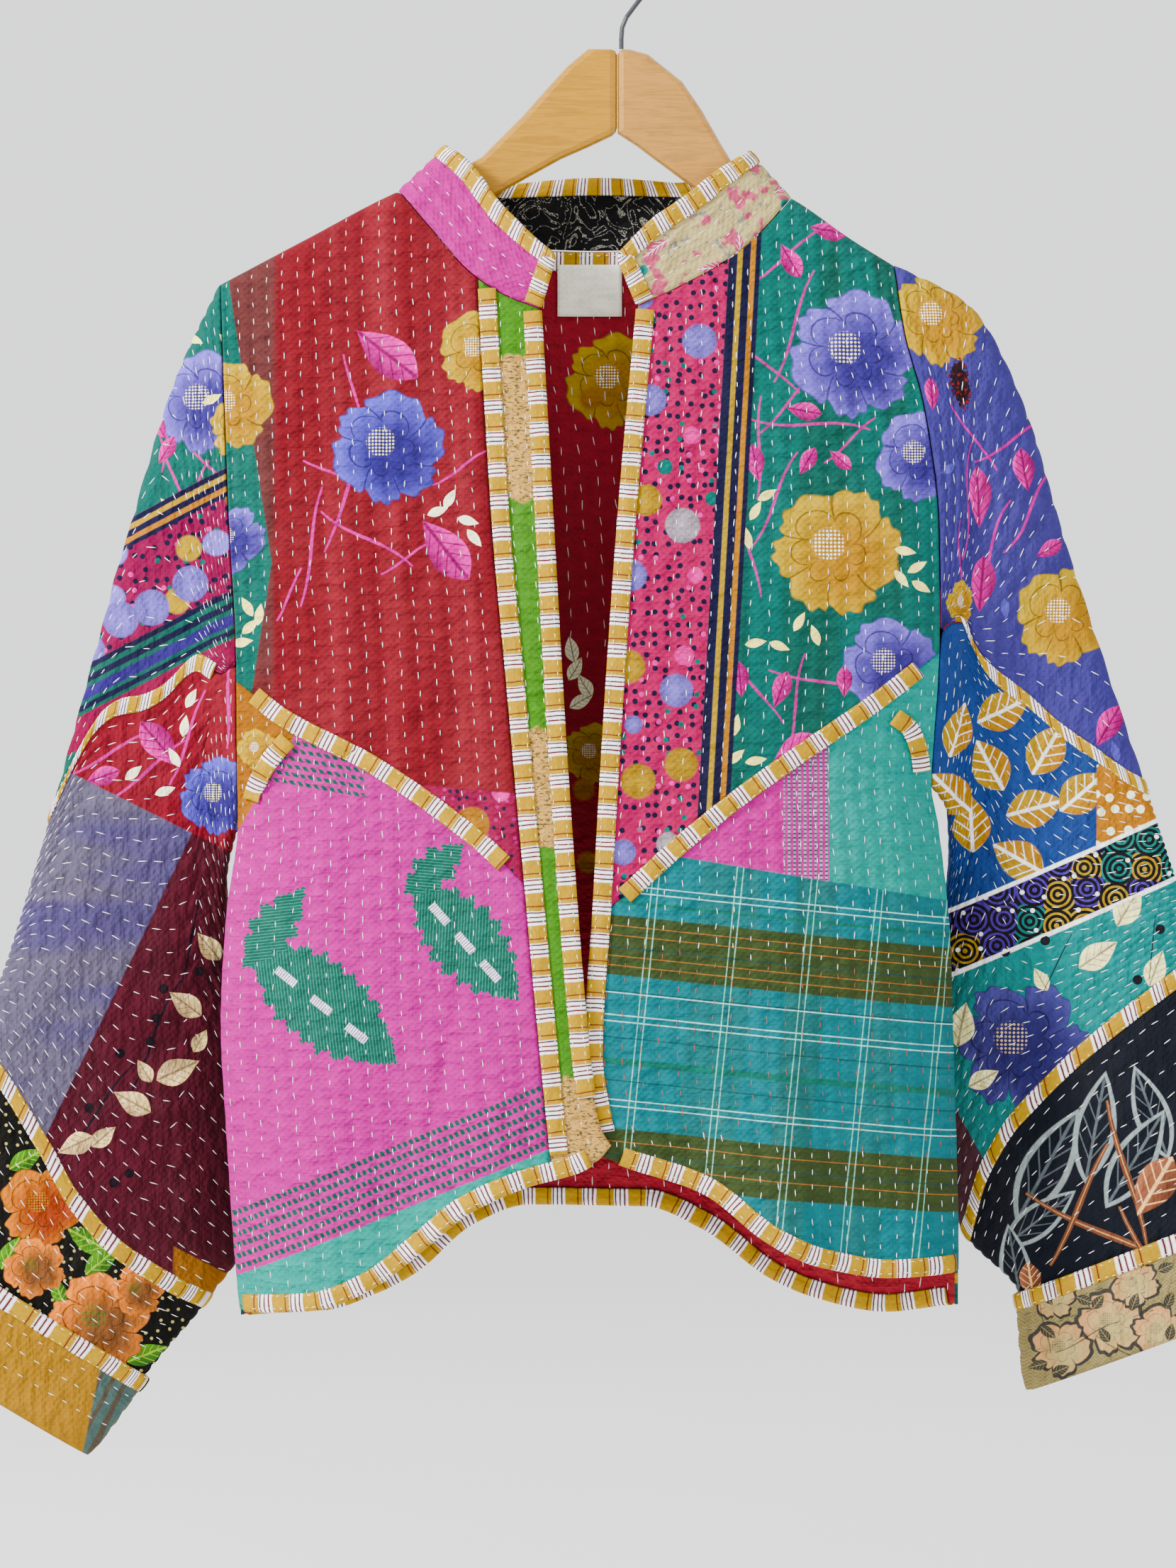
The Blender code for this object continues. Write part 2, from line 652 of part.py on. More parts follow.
def build_collar_tape():
    tall, corner = COLLAR_HEIGHT, COLLAR_CORNER
    places = [place for part in range(3) for place in collar_places(part) if place > 0]
    first, last = places[0], places[-1]
    path = [(first, COLLAR_FOOT + 1, 1, 0), (first, tall, 1, 1)]
    path += [(place, tall, 0, 1) for place in places if first + corner < place < last - corner]
    path += [(last, tall, -1, 1), (last, COLLAR_FOOT + 1, -1, 0)]
    count = len(path) - 1

    def point(t, across, offset):
        place, up, inwards, down = path[round(t * count)]
        up -= down * across
        wanted = place + inwards * across
        along = min(max(wanted, first), last)
        sample = first if along < NECK_LENGTH / 2 else last - 1
        beyond = (collar(sample + 1, up) - collar(sample, up)) * (wanted - along)
        return collar_wall(along, up, offset) + beyond

    tape("binding_collar", "binding", point, edge_profile(), count)


def build_neck():
    label_left, label_right, label_top, label_bottom = NECK_LABEL
    inside = -CLOTH - SEAM_GAP

    def tape_point(t, across, offset):
        x = mix(NECK_BACK[0][0] + 12, NECK_BACK[-1][0] - 10, t)
        return body_wall(x, smooth(NECK_BACK, x) + across, 1, offset)

    profile = (
        (-NECK_TAPE_DROP, inside), (-EDGE_ROOM, inside),
        (-EDGE_ROOM, inside - FOLDED_TAPE), (-NECK_TAPE_DROP, inside - FOLDED_TAPE),
    )
    tape("neck_tape", "binding", tape_point, profile, 12)

    def label_point(t, across, offset):
        return body_wall(mix(label_left, label_right, t), across, 1, offset)

    under = inside - FOLDED_TAPE - SEAM_GAP
    over = under - 0.6
    profile = (
        (label_bottom, under), (label_top, under), (label_top, over), (label_bottom, over),
    )
    tape("neck_label", "cotton_cream", label_point, profile, 4)


def sleeve_panel(name, colour, sleeve, top, bottom, rows):
    """A ring of cloth from g top(f) to g bottom(f), with rows of stitches round it."""

    def point(i, j, offset):
        w = RING_PLACES[i]
        f = across_share(w)
        return sleeve.wall(w, mix(top(f), bottom(f), j / rows), offset)

    coarse = (1, SLEEVE_COARSE)
    cloth_wall(name, colour, point, len(RING_PLACES), rows, coarse, closed=True, raised=ring_raise)


def sleeve_cap(name, colour, sleeve, arc, rows):
    """The panel over the shoulder, from the armhole to the arc, round the outer edge."""

    def point(i, j, offset):
        w = CAP_PLACES[i]
        bottom = max(smooth(arc, across_share(w)) - ARC_GAP, ARMHOLE_GAP + CAP_END)
        return sleeve.wall(w, mix(ARMHOLE_GAP, bottom, j / rows), offset)

    cloth_wall(name, colour, point, len(CAP_PLACES) - 1, rows, (1, SLEEVE_COARSE), raised=ring_raise)


def sleeve_tape(name, sleeve, seam, profile, places, closed=True):
    """Tape along the seam g(f), with a section at each of the places round the sleeve."""
    count = len(places) - (not closed)

    def point(t, across, offset):
        w = places[round(t * count)]
        g = seam(across_share(w))
        return sleeve.wall(w, g + across / sleeve.speed(w, g), offset)

    tape(name, "binding", point, profile, count, closed)


def build_sleeve(hand, sleeve, arc, slant, colours):
    upper, middle, forearm, cuff = colours
    sleeve_cap(f"sleeve_{hand}_upper", upper, sleeve, arc, SLEEVE_ROWS["upper"])
    sleeve_panel(
        f"sleeve_{hand}_middle", middle, sleeve, lambda f: max(smooth(arc, f) + ARC_GAP, ARMHOLE_GAP),
        lambda f: smooth(slant, f) - ARC_GAP, SLEEVE_ROWS["middle"],
    )
    sleeve_panel(
        f"sleeve_{hand}_forearm", forearm, sleeve, lambda f: smooth(slant, f) + ARC_GAP,
        lambda f: CUFF_FOLD, SLEEVE_ROWS["forearm"],
    )

    def cuff_point(i, j, offset):
        g, out, inside = CUFF_ROWS[j]
        return sleeve.wall(RING_PLACES[i], g, out if offset >= 0 else inside)

    cloth_wall(f"cuff_{hand}", cuff, cuff_point, len(RING_PLACES), len(CUFF_ROWS) - 1, closed=True)
    half = TAPE_WIDTH / 2
    over = ((-half, 1), (-half + 0.6, 5.2), (half, 5.2), (half, 4.3), (-0.8, 4.3), (-0.8, 1))
    sleeve_tape(f"binding_cuff_{hand}", sleeve, lambda f: CUFF_EDGE, over, RING_PLACES)
    sleeve_tape(f"binding_slant_{hand}", sleeve, lambda f: smooth(slant, f), flat_profile(), RING_PLACES)
    sleeve_tape(
        f"binding_arc_{hand}", sleeve, lambda f: smooth(arc, f), flat_profile(), CAP_PLACES[1:-1], False,
    )


def wood_half(name, outline):
    """One glued half of the hanger, a flat outline with eased edges."""
    curve = bpy.data.curves.new(name, "CURVE")
    curve.dimensions = "2D"
    curve.fill_mode = "BOTH"
    curve.extrude = HANGER_HALF_THICKNESS * MM
    spline = curve.splines.new("POLY")
    spline.points.add(len(outline) - 1)
    for point, (x, z) in zip(spline.points, outline):
        point.co = (x * MM, z * MM, 0, 1)
    spline.use_cyclic_u = True
    flat = bpy.data.objects.new(name + "_outline", curve)
    jacket.objects.link(flat)
    bpy.context.view_layer.update()
    mesh = bpy.data.meshes.new_from_object(flat.evaluated_get(bpy.context.evaluated_depsgraph_get()))
    bpy.data.objects.remove(flat)
    piece = named_object(name, "wood", mesh)
    piece.rotation_euler.x = math.pi / 2
    weld = piece.modifiers.new("weld caps", "WELD")
    weld.merge_threshold = 0.00001
    bevel = piece.modifiers.new("eased edges", "BEVEL")
    bevel.width = HANGER_EASED_EDGE * MM
    bevel.segments = 2
    bevel.limit_method = "ANGLE"
    bevel.angle_limit = math.radians(60)
    return piece


def build_hanger():
    wood_half("hanger_wood_left", WOOD_LEFT)
    wood_half("hanger_wood_right", WOOD_RIGHT)
    radius = HOOK_INSIDE_RADIUS + WIRE_RADIUS
    middle = -HOOK_INSIDE_RADIUS
    foot = WOOD_LEFT[1][1] + SEAM_GAP
    points = [(1.5, foot), (1.5, foot + 6), (2, -52), (4.5, -46), (9, -40)]
    for n in range(12):
        angle = math.radians(mix(-50, 205, n / 11))
        points.append((radius * math.cos(angle), middle + radius * math.sin(angle)))
    curve = bpy.data.curves.new("hanger_hook", "CURVE")
    curve.dimensions = "3D"
    curve.bevel_depth = WIRE_RADIUS * MM
    curve.bevel_resolution = 2
    curve.use_fill_caps = True
    spline = curve.splines.new("POLY")
    spline.points.add(len(points) - 1)
    for point, (x, z) in zip(spline.points, points):
        point.co = (x * MM, 0, z * MM, 1)
    named_object("hanger_hook", "steel", curve)


for old in list(bpy.data.objects):
    bpy.data.objects.remove(old)
jacket = bpy.data.collections.new("kantha_jacket")
bpy.context.scene.collection.children.link(jacket)
hook_mount = bpy.data.objects.new("hook_mount", None)
jacket.objects.link(hook_mount)

build_body()
build_collar()
build_body_tapes()
build_collar_tape()
build_neck()
build_sleeve(
    "left", Sleeve(SLEEVE_LEFT, SIDE_LEFT, -1), ARC_LEFT, SLANT_LEFT,
    ("cotton_teal", "cotton_maroon", "cotton_black", "cotton_ochre"),
)
build_sleeve(
    "right", Sleeve(SLEEVE_RIGHT, SIDE_RIGHT, 1), ARC_RIGHT, SLANT_RIGHT,
    ("cotton_violet", "cotton_blue", "cotton_navy", "cotton_cream"),
)
build_hanger()
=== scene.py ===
import math
import random

import bmesh
import bpy
import numpy as np
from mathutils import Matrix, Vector


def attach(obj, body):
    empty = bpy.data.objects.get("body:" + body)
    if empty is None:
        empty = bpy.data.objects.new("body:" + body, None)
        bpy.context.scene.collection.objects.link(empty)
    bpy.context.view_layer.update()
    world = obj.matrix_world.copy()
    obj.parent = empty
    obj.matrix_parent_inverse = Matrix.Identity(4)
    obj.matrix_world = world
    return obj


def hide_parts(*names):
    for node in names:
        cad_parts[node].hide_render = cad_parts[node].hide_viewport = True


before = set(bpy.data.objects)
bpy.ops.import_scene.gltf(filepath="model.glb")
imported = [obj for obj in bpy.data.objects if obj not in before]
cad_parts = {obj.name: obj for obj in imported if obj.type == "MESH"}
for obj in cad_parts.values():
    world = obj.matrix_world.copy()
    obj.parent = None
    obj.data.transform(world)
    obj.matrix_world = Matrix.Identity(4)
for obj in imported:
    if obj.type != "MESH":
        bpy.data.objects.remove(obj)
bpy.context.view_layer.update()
print("frame loaded")

mm = 0.001
perRow = 4  # steps of the mesh from one row of stitches to the next

# The cloth's own sizes, in millimetres
clothSizes = {
    "thickness": 1.9,
    "pucker": 0.85,  # how far the cloth stands up between two rows
    "stitchEvery": 9.6, "stitchLength": 4.3, "stitchWidth": 0.52,
    "sleeveStitchEvery": 10.8, "sleeveStitchLength": 6.0,
    "tapeWidth": 10.5,
    "tapeRepeat": 18.5,  # the tape's printed stripes come again after this
    "lap": 5.5,  # how far the left front stands out where it laps over the right one
    "lapTop": -440, "lapFall": 130, "lapInside": -100, "lapWidth": 60,  # where it starts to do so
    "foldEnd": -790,  # the height at which the hem's folds reach their full depth
    "ridgeSoft": 18,  # creases fade out this close to the shoulder
    "seamGap": 0.3,
    "armOpen": 8.0,  # how deep the arm is where the body's side stops being rounded
    "armholeSeam": 0.4,
}

# The garment's outline, the same as the solids': z or x first, then the other
shoulderLine = (
    (-232, -202), (-183, -176), (-129, -148), (-75, -128), (-14, -120),
    (50, -128), (101, -152), (136, -176), (160, -191),
)
sideLeft = (
    (-810, -220), (-768, -224), (-693, -229), (-633, -232), (-573, -229), (-516, -222),
    (-424, -222), (-343, -226), (-247, -230), (-202, -232),
)
sideRight = (
    (-810, 198), (-776, 198), (-649, 195), (-584, 193), (-518, 186), (-494, 182),
    (-409, 186), (-343, 185), (-277, 177), (-229, 165), (-191, 160),
)
frontDepth = (
    (0, 0), (2, 6.6), (7, 10), (20, 13), (60, 20), (120, 29), (220, 40), (350, 49), (480, 55), (700, 60),
)
backDepth = (
    (0, 0), (2, 6.6), (7, 10), (20, 13), (60, 22), (120, 32), (220, 42), (350, 47), (480, 49), (700, 52),
)
frontFolds = (  # centre x, half width, depth at the hem, z where it starts
    (-178, 26, 6, -560), (-126, 22, -5, -600), (-76, 26, 6, -520), (-40, 20, -2, -300),
    (40, 26, -5, -480), (92, 27, 8, -540), (142, 24, -5, -520), (176, 20, 3, -560),
)
backFolds = (
    (-165, 28, 7, -480), (-110, 26, -6, -520), (-45, 30, 8, -440), (20, 28, -6, -500),
    (80, 28, 8, -460), (135, 26, -6, -520),
)
neckLeft = ((-129, -148), (-108, -173), (-87, -197), (-66, -211), (-46, -219))
neckRight = ((11, -217), (37, -205), (63, -190), (82, -174), (101, -152))
neckBack = ((-129, -148), (-112, -166), (-80, -177), (-14, -181), (50, -177), (84, -167), (101, -152))
frontEdgeLeft = (
    (-702, -4), (-690, -11), (-649, -18), (-496, -30), (-343, -39), (-219, -46), (-188, -46),
)
frontEdgeRight = (
    (-708, -10), (-649, -19), (-562, -14), (-474, -9), (-343, 0), (-217, 11), (-188, 11),
)
placketSeam = ((-730, -37), (-649, -45), (-431, -65), (-343, -73), (-197, -82))
seamLeft = ((-250, -421), (-220, -436), (-195, -455), (-142, -483), (-80, -527), (-40, -566))
seamRight = ((-20, -574), (-2, -562), (35, -529), (74, -498), (114, -470), (149, -446), (200, -406))
underarmLeft = ((-191, -468), (-203, -482), (-210, -495), (-213, -503))
underarmRight = ((159, -455), (168, -462), (173, -474), (175, -486))
hemFrontLeft = (
    (-240, -800), (-219, -800), (-175, -796), (-142, -783), (-109, -757), (-87, -739),
    (-54, -724), (-25, -716), (-12, -709), (-4, -700),
)
hemFrontRight = (
    (-14, -706), (2, -712), (48, -728), (87, -757), (118, -771), (157, -778), (198, -777), (220, -777),
)
hemBack = (
    (-240, -804), (-175, -804), (-142, -794), (-120, -782), (-87, -754), (-54, -743), (15, -743),
    (48, -756), (92, -787), (118, -797), (157, -804), (198, -798), (220, -798),
)
sleeveLeftTable = (  # g down the sleeve, outer x, outer z, inner x, inner z, outer y, inner y, half thickness
    (0.00, -232, -202, -222, -516, 0, 0, 24),
    (0.16, -258, -258, -231, -556, 0, 26, 24),
    (0.30, -295, -380, -226, -625, 4, 46, 21),
    (0.45, -332, -512, -216, -690, 10, 58, 18),
    (0.58, -361, -606, -220, -759, 14, 60, 16),
    (0.72, -392, -682, -244, -800, 16, 50, 15),
    (0.86, -429, -749, -283, -845, 18, 40, 14),
    (1.00, -460, -797, -315, -889, 20, 34, 14),
)
sleeveRightTable = (
    (0.00, 160, -191, 181, -494, 0, 0, 24),
    (0.09, 205, -216, 193, -512, 0, 17, 25),
    (0.18, 234, -269, 195, -540, 0, 32, 25),
    (0.32, 262, -358, 190, -592, 4, 52, 21),
    (0.45, 308, -496, 187, -665, 10, 60, 18),
    (0.58, 334, -575, 189, -715, 14, 62, 16),
    (0.72, 358, -650, 206, -761, 16, 52, 15),
    (0.86, 390, -735, 238, -798, 18, 42, 14),
    (1.00, 404, -790, 243, -852, 20, 36, 14),
)
arcLeft = (
    (0, 0.45), (0.04, 0.40), (0.10, 0.36), (0.27, 0.30), (0.41, 0.24), (0.67, 0.07), (0.71, 0.0),
    (1, 0.0),
)
arcRight = (
    (0, 0.45), (0.12, 0.41), (0.26, 0.365), (0.40, 0.30), (0.57, 0.18), (0.67, 0.03), (0.70, 0.006),
    (0.74, 0.0), (1, 0.0),
)
slantLeft = ((0, 0.65), (0.12, 0.66), (0.33, 0.69), (0.5, 0.72), (0.7, 0.735), (0.88, 0.73), (1, 0.72))
slantRight = ((0, 0.62), (0.45, 0.61), (0.7, 0.62), (0.85, 0.65), (1, 0.72))
collarTop = (  # way round, dx, dy, dz of the top edge from the neck seam
    (0.00, 9, -3, 31), (0.08, 18, -2, 37), (0.16, 24, 0, 36), (0.24, 28, 1, 26), (0.30, 24, 5, 30),
    (0.50, 2, 9, 43), (0.70, -24, 5, 31), (0.76, -25, 1, 27), (0.84, -25, 0, 36), (0.92, -21, -2, 37),
    (1.00, -12, -3, 29),
)
collarSizes = {"height": 41, "foot": 0.6, "cuffEdge": 0.865, "cuffFold": 0.9885}

# Soft folds placed one by one: x, z, which way they run in degrees, half length, half width, depth (+
# outwards)
frontCreases = (
    (-100, -630, 87, 85, 3.2, -1.5), (-165, -560, 78, 70, 9, 1.1), (-128, -420, 66, 60, 10, -0.9),
    (-190, -470, 58, 40, 7, 1.3), (-208, -380, 80, 60, 6, -1.4), (-150, -250, 128, 50, 9, 0.9),
    (-75, -330, 95, 70, 8, -0.7), (-60, -560, 96, 80, 6, 0.8), (30, -330, 84, 80, 9, 0.8),
    (66, -300, 62, 46, 7, -0.8), (120, -250, 48, 45, 9, 0.9), (160, -330, 96, 70, 7, 1.3),
    (140, -430, 118, 45, 8, -1.1), (168, -530, 98, 70, 7, 1.2), (110, -620, 84, 90, 8, -1.1),
    (60, -660, 92, 70, 9, 0.9), (10, -610, 100, 60, 6, -0.8), (150, -700, 82, 60, 9, 1.0),
    (-180, -700, 94, 70, 9, -1.0), (-40, -670, 84, 40, 7, 0.7),
)
backCreases = (
    (-150, -300, 112, 60, 9, -1.1), (-60, -420, 84, 90, 8, 0.9), (20, -330, 98, 80, 10, -0.8),
    (90, -280, 62, 60, 9, 0.9), (150, -420, 80, 60, 7, -1.3), (-190, -480, 96, 60, 7, 1.2),
    (-110, -620, 84, 90, 9, -1.1), (60, -600, 95, 90, 8, 1.0), (130, -650, 86, 80, 9, -0.9),
    (-20, -680, 92, 60, 8, -0.8), (-170, -700, 98, 60, 9, 1.0),
)


def curveOf(table, column=1, cache={}):
    # a smooth curve through the rows of a table, without overshoot
    key = (id(table), column)
    if key not in cache:
        rows = sorted(table)
        xs = np.array([row[0] for row in rows], float)
        ys = np.array([row[column] for row in rows], float)
        slopes = np.diff(ys) / np.diff(xs)
        tangents = np.concatenate(([slopes[0]], np.zeros(len(xs) - 2), [slopes[-1]]))
        for n in range(1, len(xs) - 1):
            a, b = slopes[n - 1], slopes[n]
            tangents[n] = 0 if a * b <= 0 else 2 * a * b / (a + b)
        fine = np.unique(np.concatenate((np.linspace(xs[0], xs[-1], 1200), xs)))
        n = np.clip(np.searchsorted(xs, fine, side="right") - 1, 0, len(xs) - 2)
        span = xs[n + 1] - xs[n]
        t = (fine - xs[n]) / span
        values = ys[n] * (1 + 2 * t) * (1 - t) ** 2 + ys[n + 1] * t * t * (3 - 2 * t)
        values += span * (tangents[n] * t * (1 - t) ** 2 - tangents[n + 1] * t * t * (1 - t))
        cache[key] = (fine, values, table)
    return cache[key]


def at(table, key, column=1):
    xs, ys, _ = curveOf(table, column)
    return np.interp(key, xs, ys)


def ease(value):
    value = np.clip(value, 0, 1)
    return value * value * (3 - 2 * value)


def mix(a, b, t):
    return a + (b - a) * t


def bulge(u, opened=0):
    # how full the body is across its width, u from -1 to 1
    full = np.sqrt(np.maximum(0, 1 - np.abs(u) ** 2.4))
    return mix(full, 1 - np.abs(u) ** 4, opened)


def section(f):
    return np.sin(np.pi * np.clip(f, 0, 1)) ** 0.4


def evenAcross():
    u = np.sin(np.pi * (np.linspace(0, 1, 241) - 0.5))
    x, y = 208 * u, 48 * bulge(u)
    lengths = np.concatenate(([0], np.cumsum(np.hypot(np.diff(x), np.diff(y)))))
    return 2 * lengths / lengths[-1] - 1, u


evenShares, evenPlaces = evenAcross()


def bodyMiddle(z):
    left, right = at(sideLeft, z), at(sideRight, z)
    return (left + right) / 2, (right - left) / 2


def bodyX(share, z):
    middle, half = bodyMiddle(z)
    return middle + half * np.interp(share, evenShares, evenPlaces)


def bodyShare(x, z):
    middle, half = bodyMiddle(z)
    return np.interp(np.clip((x - middle) / half, -1, 1), evenPlaces, evenShares)


def armDepth(u, underRidge):
    left, right = sleeveLeftTable[0], sleeveRightTable[0]
    drop = np.where(u < 0, left[2] - left[4], right[2] - right[4])
    deep = np.where(u < 0, left[7], right[7])
    return np.maximum(deep * section(np.minimum(underRidge / drop, 1)), clothSizes["seamGap"] / 2)


def creaseLift(creases, x, z):
    out = np.zeros_like(x)
    for cx, cz, turn, half, width, depth in creases:
        way = math.radians(turn)
        along = (x - cx) * math.cos(way) + (z - cz) * math.sin(way)
        across = (z - cz) * math.cos(way) - (x - cx) * math.sin(way)
        across = across + 0.09 * half * np.sin(along / half * 1.7 + cx)  # folds wander a little
        out = out + depth * np.exp(-((across / width) ** 2)) * np.exp(-((along / half) ** 4))
    return out


def bodyPoint(x, z, side, lapped=False, creased=True):
    middle, half = bodyMiddle(z)
    u = np.clip((x - middle) / half, -1, 1)
    x = middle + half * u
    underRidge = np.maximum(at(shoulderLine, x) - z, 0)
    arm = armDepth(u, underRidge)
    depth = np.maximum(at(frontDepth if side < 0 else backDepth, underRidge), arm)
    out = arm + (depth - arm) * bulge(u, ease(arm / clothSizes["armOpen"]))
    for centre, width, height, start in frontFolds if side < 0 else backFolds:
        grown = ease((start - z) / (start - clothSizes["foldEnd"]))
        out = out + height * grown * np.exp(-(((x - centre) / width) ** 2)) * bulge(u)
    if lapped:
        low = ease((clothSizes["lapTop"] - z) / clothSizes["lapFall"])
        out = out + clothSizes["lap"] * low * ease((x - clothSizes["lapInside"]) / clothSizes["lapWidth"])
    if creased:
        near = ease(underRidge / clothSizes["ridgeSoft"]) * ease((1 - np.abs(u)) / 0.05)
        out = out + near * creaseLift(frontCreases if side < 0 else backCreases, x, z)
    return np.stack((x, side * out, z), -1)


def unit(vectors):
    return vectors / np.maximum(np.linalg.norm(vectors, axis=-1, keepdims=True), 1e-9)


def bodyWall(x, z, side, offset, lapped=False):
    x, z = np.broadcast_arrays(np.asarray(x, float), np.asarray(z, float))
    step = 0.6
    across = bodyPoint(x + step, z, side, lapped) - bodyPoint(x - step, z, side, lapped)
    up = bodyPoint(x, z + step, side, lapped) - bodyPoint(x, z - step, side, lapped)
    normal = unit(np.cross(across, up)) * -side
    return bodyPoint(x, z, side, lapped) + normal * np.asarray(offset, float)[..., None]


class SleeveForm:
    def __init__(self, table, armhole, outwards, creases):
        self.table, self.armhole, self.outwards, self.creases = table, armhole, outwards, creases

    def flat(self, f, g, side):
        ox, oz, ix, iz, outerY, innerY, half = [at(self.table, g, column) for column in range(1, 8)]
        y = mix(outerY, innerY, f) + side * half * section(f)
        return np.stack((mix(ox, ix, f), y, mix(oz, iz, f)), -1)

    def share(self, w):
        w = np.mod(w, 2)
        return np.clip((1 - np.cos(np.pi * np.where(w <= 1, w, 2 - w))) / 2, 0, 1)

    def point(self, w, g):
        w, g = np.broadcast_arrays(np.asarray(w, float), np.asarray(g, float))
        f, side = self.share(w), np.where(np.mod(w, 2) <= 1, -1, 1)
        z = mix(self.table[0][2], self.table[0][4], f)
        x = at(self.armhole, z)
        front, back = bodyPoint(x, z, -1, creased=False), bodyPoint(x, z, 1, creased=False)
        seam = np.where((side < 0)[..., None], front, back)
        seam[..., 1] = np.where((f <= 0) | (f >= 1), 0, seam[..., 1])
        start = self.flat(f, np.zeros_like(f), side)
        place = self.flat(f, g, side) + (seam - start) * (1 - ease(g / 0.14))[..., None]
        place[..., 0] += self.outwards * clothSizes["armholeSeam"]
        return place

    def wall(self, w, g, offset):
        w, g = np.broadcast_arrays(np.asarray(w, float), np.asarray(g, float))
        around = self.point(w + 0.01, g) - self.point(w - 0.01, g)
        along = self.point(w, g + 0.004) - self.point(w, np.maximum(g - 0.004, 0))
        normal = unit(np.cross(around, along)) * self.outwards
        lift = np.asarray(offset, float) + self.creaseAt(w, g)
        return self.point(w, g) + normal * lift[..., None]

    def creaseAt(self, w, g):
        flat = self.unfolded(w, g)
        near = ease((g - 0.02) / 0.06) * ease((1.03 - g) / 0.05)
        return near * creaseLift(self.creases, flat[..., 0], flat[..., 1])

    def unfolded(self, w, g):
        # the cloth laid flat: the front as it is seen, the back turned out past the outer fold
        w, g = np.broadcast_arrays(np.asarray(w, float), np.asarray(g, float))
        f = self.share(w)
        # w runs from 1, the underarm, round the back to 2 and the front to 3
        f = np.where((w >= 1) & (w < 2), -f, f)
        ox, oz, ix, iz = [at(self.table, g, column) for column in range(1, 5)]
        return np.stack((mix(ox, ix, f), mix(oz, iz, f)), -1)

    def speed(self, w, g):
        return np.linalg.norm(self.point(w, g + 0.01) - self.point(w, g - 0.01), axis=-1) / 0.02


sleeveLeftCreases = (  # x, z on the sleeve laid flat, turn, half length, half width, depth
    (-262, -330, 52, 60, 9, 1.2), (-300, -470, 64, 70, 9, -1.2), (-246, -470, 78, 60, 7, 1.0),
    (-330, -600, 58, 60, 10, 1.0), (-268, -640, 40, 60, 9, -1.1), (-380, -740, 52, 50, 9, 0.9),
    (-330, -770, 20, 45, 9, -0.8), (-350, -330, 60, 70, 9, -1.2), (-420, -480, 66, 80, 10, 1.1),
    (-500, -600, 60, 70, 9, -1.0), (-560, -640, 50, 60, 10, 1.0),
)
sleeveRightCreases = (
    (232, -340, 122, 60, 9, 1.2), (268, -470, 114, 70, 9, -1.2), (222, -450, 100, 60, 7, 1.0),
    (300, -560, 120, 60, 10, 1.0), (236, -620, 138, 60, 9, -1.1), (340, -690, 124, 50, 9, 0.9),
    (286, -740, 158, 45, 9, -0.8), (330, -330, 120, 70, 9, -1.2), (400, -480, 114, 80, 10, 1.1),
    (460, -560, 120, 70, 9, -1.0),
)
sleeveForms = {
    "left": SleeveForm(sleeveLeftTable, sideLeft, -1, sleeveLeftCreases),
    "right": SleeveForm(sleeveRightTable, sideRight, 1, sleeveRightCreases),
}


def neckLine():
    places = []
    for table, side in ((neckLeft[::-1], -1), (neckBack, 1), (neckRight[::-1], -1)):
        rising = tuple(sorted(table))
        xs = np.linspace(table[0][0], table[-1][0], 15)
        points = bodyPoint(xs, at(rising, xs), side, creased=False)
        for x, place in zip(xs, points):
            if side > 0 and (abs(x - rising[0][0]) < 1e-6 or abs(x - rising[-1][0]) < 1e-6):
                place[1] = 0
            if not places or np.linalg.norm(place - places[-1]) > 1:
                places.append(place)
    length = np.concatenate(([0], np.cumsum(np.linalg.norm(np.diff(places, axis=0), axis=1))))
    return tuple((far, *place) for far, place in zip(length, places))


neckSeam = neckLine()
neckLength = neckSeam[-1][0]


def collarPoint(along, up):
    base = np.stack([at(neckSeam, along, column) for column in (1, 2, 3)], -1)
    lean = np.stack([at(collarTop, along / neckLength, column) for column in (1, 2, 3)], -1)
    return base + lean * (up / collarSizes["height"])[..., None]


def collarWall(along, up, offset):
    along, up = np.broadcast_arrays(np.asarray(along, float), np.asarray(up, float))
    low, high = np.maximum(along - 1, 0), np.minimum(along + 1, neckLength)
    way = collarPoint(high, up) - collarPoint(low, up)
    rise = collarPoint(along, up + 1) - collarPoint(along, up - 1)
    return collarPoint(along, up) + unit(np.cross(rise, way)) * np.asarray(offset, float)[..., None]


def smallWaves(x, z, size=1.0):
    # the slight unevenness of hand quilting
    a = np.sin(x * 0.31 + 1.7 * np.sin(z * 0.117)) * np.sin(z * 0.37 + 1.3 * np.sin(x * 0.091))
    b = np.sin(x * 0.83 - z * 0.29 + 2.1) * np.sin(z * 0.71 + x * 0.17)
    return size * (0.13 * a + 0.07 * b)


# making and finishing pieces


def gridShape(columns, rows, place, flatPlace):
    # place and flatPlace take arrays of column and row numbers
    shape = bmesh.new()
    bmesh.ops.create_grid(shape, x_segments=columns, y_segments=rows, size=0.5)
    shares = np.array([vertex.co[:2] for vertex in shape.verts]) + 0.5
    i, j = np.rint(shares[:, 0] * columns), np.rint(shares[:, 1] * rows)
    points, flats = place(i, j) * mm, flatPlace(i, j) * mm
    for vertex, point in zip(shape.verts, points):
        vertex.co = point
    shape.verts.index_update()
    cloth = shape.loops.layers.uv.new("cloth")
    for face in shape.faces:
        for loop in face.loops:
            loop[cloth].uv = flats[loop.vert.index]
    return shape


def turnOutwards(shape, outside):
    # outside(point) is the way out there; the faces are turned to look that way
    shape.normal_update()
    looking = sum(f.calc_area() * f.normal.dot(outside(f.calc_center_median())) for f in shape.faces)
    if looking < 0:
        bmesh.ops.reverse_faces(shape, faces=shape.faces[:])


